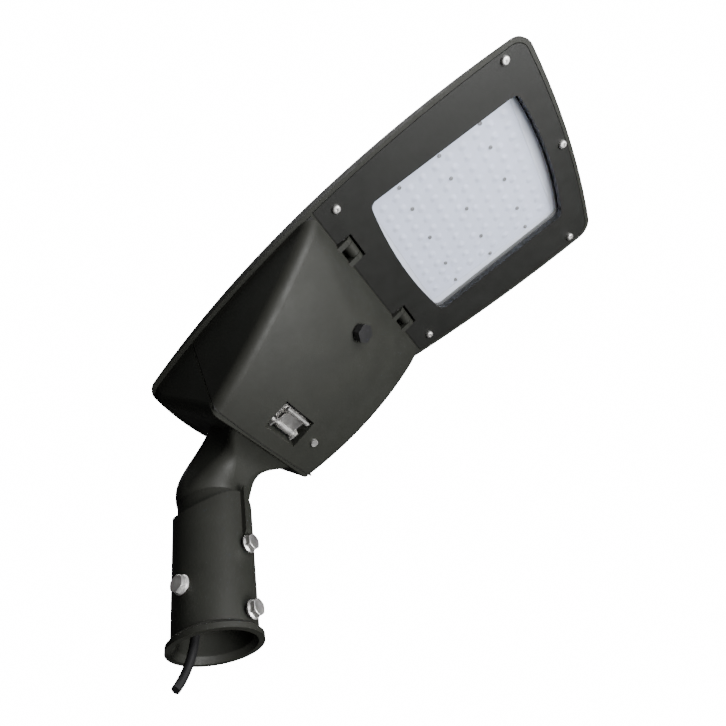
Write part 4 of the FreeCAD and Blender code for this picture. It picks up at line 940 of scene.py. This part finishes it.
@dataclass
class ClampBolts:
    """The four flanged bolts round the sleeve.

    Attributes:
        shop: what every sub-assembly needs.
        spots: each one's turn round the sleeve, in degrees from +X, and its height.
        seat: distance of the flanges' seats from the sleeve's axis.
        end: distance of the shanks' ends from it.
    """

    shop: Workshop
    spots: tuple[Spot, ...] = ((0.0, 0.016), (0.0, 0.074), (90.0, 0.042), (-90.0, 0.042))
    seat: float = 0.0392
    end: float = 0.0311

    def build(self) -> bpy.types.Object:
        """Set the bolts round the sleeve and join them.

        Returns:
            The finished bolts.
        """
        model = FlangedBolt(depth=self.seat - self.end)
        form = bmesh.new()
        for turn, height in self.spots:
            bolt = model.mesh()
            out = Matrix.Translation((self.seat, 0, height))
            bolt.transform(Matrix.Rotation(math.radians(turn), 4, "Z") @ out)
            form.from_mesh(bolt)
            bpy.data.meshes.remove(bolt)
        mesh = finished(form, "clamp_bolt_forms", model.sharp)
        mesh.materials.append(self.shop.paint.material(Slot.STEEL))
        bolts = linked(bpy.data.objects.new("clamp_bolt_forms", mesh))
        return self.shop.adopt(bolts, "spigot", Slot.STEEL, "clamp_bolts")


@dataclass
class SupplyCable:
    """The bare-ended supply cable, laid along its route.

    Attributes:
        shop: what every sub-assembly needs.
        diameter: across its sheath.
        length: its real length; not used.
        route: the points that its smooth line follows, from its bare end.
        bend_start: where it would start to follow the head; not used.
        bend_end: where it would follow the head alone; not used.
        order: order of its smooth line.
        fineness: steps of the line between two points.
        roundness: Blender's bevel resolution of the tube.
    """

    shop: Workshop
    diameter: float = 0.0075
    length: float = 0.375
    route: tuple[Point, ...] = (
        (-0.0125, -0.0308, -0.0311),
        (-0.0080, -0.0140, -0.0104),
        (-0.0080, -0.0140, 0.0600),
        (-0.0080, -0.0140, 0.1000),
        (-0.0080, -0.0140, 0.1487),
        (0.0070, -0.0140, 0.1786),
        (0.0338, -0.0140, 0.1985),
        (0.0624, -0.0140, 0.2032),
        (0.0854, -0.0140, 0.2263),
        (0.1085, -0.0140, 0.2493),
        (0.1406, -0.0140, 0.2550),
    )
    bend_start: Point = (-0.008, -0.014, 0.118)
    bend_end: Point = (0.045, -0.014, 0.205)
    order: int = 3
    fineness: int = 16
    roundness: int = 6

    def _mesh(self, curve: bpy.types.Curve, radius: float) -> bpy.types.Mesh:
        """Turn the route into a plain mesh.

        Args:
            curve: the route.
            radius: 0 for a line, or the radius of a tube round it.

        Returns:
            The line or the tube.
        """
        curve.bevel_depth = radius
        carrier = linked(bpy.data.objects.new("supply_cable_route", curve))
        bpy.context.view_layer.update()
        graph = bpy.context.evaluated_depsgraph_get()
        mesh = bpy.data.meshes.new_from_object(carrier.evaluated_get(graph))
        bpy.data.objects.remove(carrier)
        return mesh

    def _curve(self) -> bpy.types.Curve:
        """Lay the smooth line along the route.

        Returns:
            A curve of one open spline.
        """
        curve = bpy.data.curves.new("supply_cable", "CURVE")
        curve.dimensions = "3D"
        curve.bevel_resolution = self.roundness
        curve.use_fill_caps = True
        spline = curve.splines.new("NURBS")
        spline.points.add(len(self.route) - 1)
        for point, place in zip(spline.points, self.route):
            point.co = (*place, 1.0)
        spline.order_u = self.order
        spline.use_endpoint_u = True
        spline.resolution_u = self.fineness
        return curve

    def build(self) -> bpy.types.Object:
        """Returns:
            The finished cable.
        """
        curve = self._curve()
        line = [tuple(vertex.co) for vertex in self._mesh(curve, 0.0).vertices]
        tube = self._mesh(curve, self.diameter / 2)
        tube.name = "supply_cable_sheath"
        for polygon in tube.polygons:
            polygon.use_smooth = len(polygon.vertices) == 4
        cable = linked(bpy.data.objects.new("supply_cable_sheath", tube))
        tube.materials.clear()
        tube.materials.append(self.shop.paint.material(Slot.CABLE))
        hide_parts("supply_cable")
        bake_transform(cable)
        LOG.info("%s bends from spigot to head for supply_cable", cable.name)
        return cable


# the set


@dataclass(frozen=True)
class Lamp:
    """One soft light.

    Attributes:
        name: what it is.
        place: where it hangs.
        aim: what it points at.
        power: watts.
        side: length of each side of its square.
    """

    name: str
    place: Point
    aim: Point
    power: float
    side: float


HEAD_MIDDLE: Point = (0.16, 0.0, 0.2)
SLEEVE_MIDDLE: Point = (0.0, 0.0, 0.08)


def look(place: Vector, aim: Vector) -> Matrix:
    """Return a matrix that stands at a place and looks at an aim."""
    turn = (aim - place).to_track_quat("-Z", "Y").to_matrix().to_4x4()
    return Matrix.Translation(place) @ turn


@dataclass(frozen=True)
class Studio:
    """Camera, lights, floor and backdrop.

    The floor and the backdrop glow by themselves but send no light onto the object.

    Attributes:
        camera_place: where the camera stands.
        camera_forward: the way it looks.
        camera_right: what it has on its right.
        sensor: its sensor's width, in millimetres.
        focal: its focal length, in millimetres.
        clip_start: the nearest that it sees.
        lamps: the lights.
        world_glow: strength of the dim world.
        backdrop_radius: radius of the white dome round the set.
        backdrop_segments: its faces round the turn.
        backdrop_rings: its rows of faces.
        backdrop_grey: its base colour.
        backdrop_glow: strength of its glow.
        backdrop_shine: strength of its own reflection.
        floor_height: where the floor lies.
        floor_half: half of its side.
        floor_grey: its base colour.
        floor_glow: strength of its glow.
        floor_shine: strength of its own reflection.
        matt: roughness of floor and backdrop.
    """

    camera_place: Point = (0.3209, -0.3724, -0.1778)
    camera_forward: Point = (-0.239, 0.683, 0.691)
    camera_right: Point = (0.840, 0.502, -0.206)
    sensor: float = 36.0
    focal: float = 27.77
    clip_start: float = 0.01
    lamps: tuple[Lamp, ...] = (
        Lamp("key", (1.05, -0.12, -0.66), HEAD_MIDDLE, power=24.0, side=0.7),
        Lamp("side", (0.85, -0.30, 0.05), SLEEVE_MIDDLE, power=4.0, side=0.35),
        Lamp("over", (0.4, -0.3, 1.8), HEAD_MIDDLE, power=24.0, side=1.4),
        Lamp("behind", (-1.0, 1.0, 2.3), HEAD_MIDDLE, power=55.0, side=1.2),
    )
    world_glow: float = 0.03
    backdrop_radius: float = 7.0
    backdrop_segments: int = 32
    backdrop_rings: int = 16
    backdrop_grey: float = 0.0
    backdrop_glow: float = 16.0
    backdrop_shine: float = 0.0
    floor_height: float = -0.9
    floor_half: float = 2.5
    floor_grey: float = 0.35
    floor_glow: float = 2.0
    floor_shine: float = 0.5
    matt: float = 0.9

    def _camera(self) -> None:
        """Stand the camera where the photograph was taken."""
        lens = bpy.data.cameras.new("photo_camera")
        lens.sensor_width = self.sensor
        lens.lens = self.focal
        lens.clip_start = self.clip_start
        camera = linked(bpy.data.objects.new("photo_camera", lens))
        back = -Vector(self.camera_forward).normalized()
        right = Vector(self.camera_right).normalized()
        up = back.cross(right).normalized()
        right = up.cross(back).normalized()
        turn = Matrix((right, up, back)).transposed().to_4x4()
        camera.matrix_world = Matrix.Translation(Vector(self.camera_place)) @ turn
        bpy.context.scene.camera = camera

    def _lights(self) -> None:
        """Hang the lights."""
        for lamp in self.lamps:
            data = bpy.data.lights.new(lamp.name, "AREA")
            data.shape = "RECTANGLE"
            data.size = lamp.side
            data.size_y = lamp.side
            data.energy = lamp.power
            obj = linked(bpy.data.objects.new(lamp.name, data))
            obj.matrix_world = look(Vector(lamp.place), Vector(lamp.aim))

    def _world(self) -> None:
        """Set the dim world."""
        world = bpy.data.worlds.new("studio")
        world.use_nodes = True
        sky = world.node_tree.nodes["Background"]
        sky.inputs["Color"].default_value = WHITE
        sky.inputs["Strength"].default_value = self.world_glow
        bpy.context.scene.world = world

    def _glowing(self, name: str, grey: float, glow: float, shine: float) -> bpy.types.Material:
        """Make a plain material of some grey that also glows white.

        Args:
            name: the material's name.
            grey: its base colour.
            glow: strength of its glow.
            shine: strength of its own reflection.

        Returns:
            The material.
        """
        material = bpy.data.materials.new(name)
        material.use_nodes = True
        shader = material.node_tree.nodes["Principled BSDF"]
        shader.inputs["Base Color"].default_value = (grey, grey, grey, 1.0)
        shader.inputs["Roughness"].default_value = self.matt
        shader.inputs["Specular IOR Level"].default_value = shine
        shader.inputs["Emission Color"].default_value = WHITE
        shader.inputs["Emission Strength"].default_value = glow
        return material

    def _backdrop(self) -> None:
        """Hang the plain white dome round the set."""
        form = bmesh.new()
        bmesh.ops.create_uvsphere(
            form,
            u_segments=self.backdrop_segments,
            v_segments=self.backdrop_rings,
            radius=self.backdrop_radius,
        )
        dome = linked(bpy.data.objects.new("backdrop", finished(form, "backdrop")))
        white = self._glowing(
            "backdrop", self.backdrop_grey, self.backdrop_glow, self.backdrop_shine
        )
        dome.data.materials.append(white)
        dome.visible_diffuse = False
        dome.visible_glossy = False
        dome.visible_shadow = False

    def _floor(self) -> None:
        """Lay the pale floor far below."""
        form = bmesh.new()
        bmesh.ops.create_grid(form, x_segments=1, y_segments=1, size=self.floor_half)
        mesh = finished(form, "floor")
        mesh.transform(Matrix.Translation((0, 0, self.floor_height)))
        pale = self._glowing("floor", self.floor_grey, self.floor_glow, self.floor_shine)
        mesh.materials.append(pale)
        floor = linked(bpy.data.objects.new("floor", mesh))
        floor.visible_diffuse = False
        floor.visible_glossy = False

    def build(self) -> None:
        """Build the whole set."""
        self._camera()
        self._lights()
        self._world()
        self._backdrop()
        self._floor()
        LOG.info("the set has %d lights, a floor and a backdrop", len(self.lamps))


def main() -> None:
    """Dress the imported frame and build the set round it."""
    logging.basicConfig(level=logging.INFO, format="%(message)s")
    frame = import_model()
    shop = Workshop(frame, Paintbox(FINISHES), Repeater())
    CadFinishes(shop).build()
    plate = LensPlate(shop)
    plate.build()
    FrameScrews(shop).build()
    LensScrews(shop, plate).build()
    ClampBolts(shop).build()
    Studio().build()
    SupplyCable(shop).build()


if __name__ == "__main__":
    main()
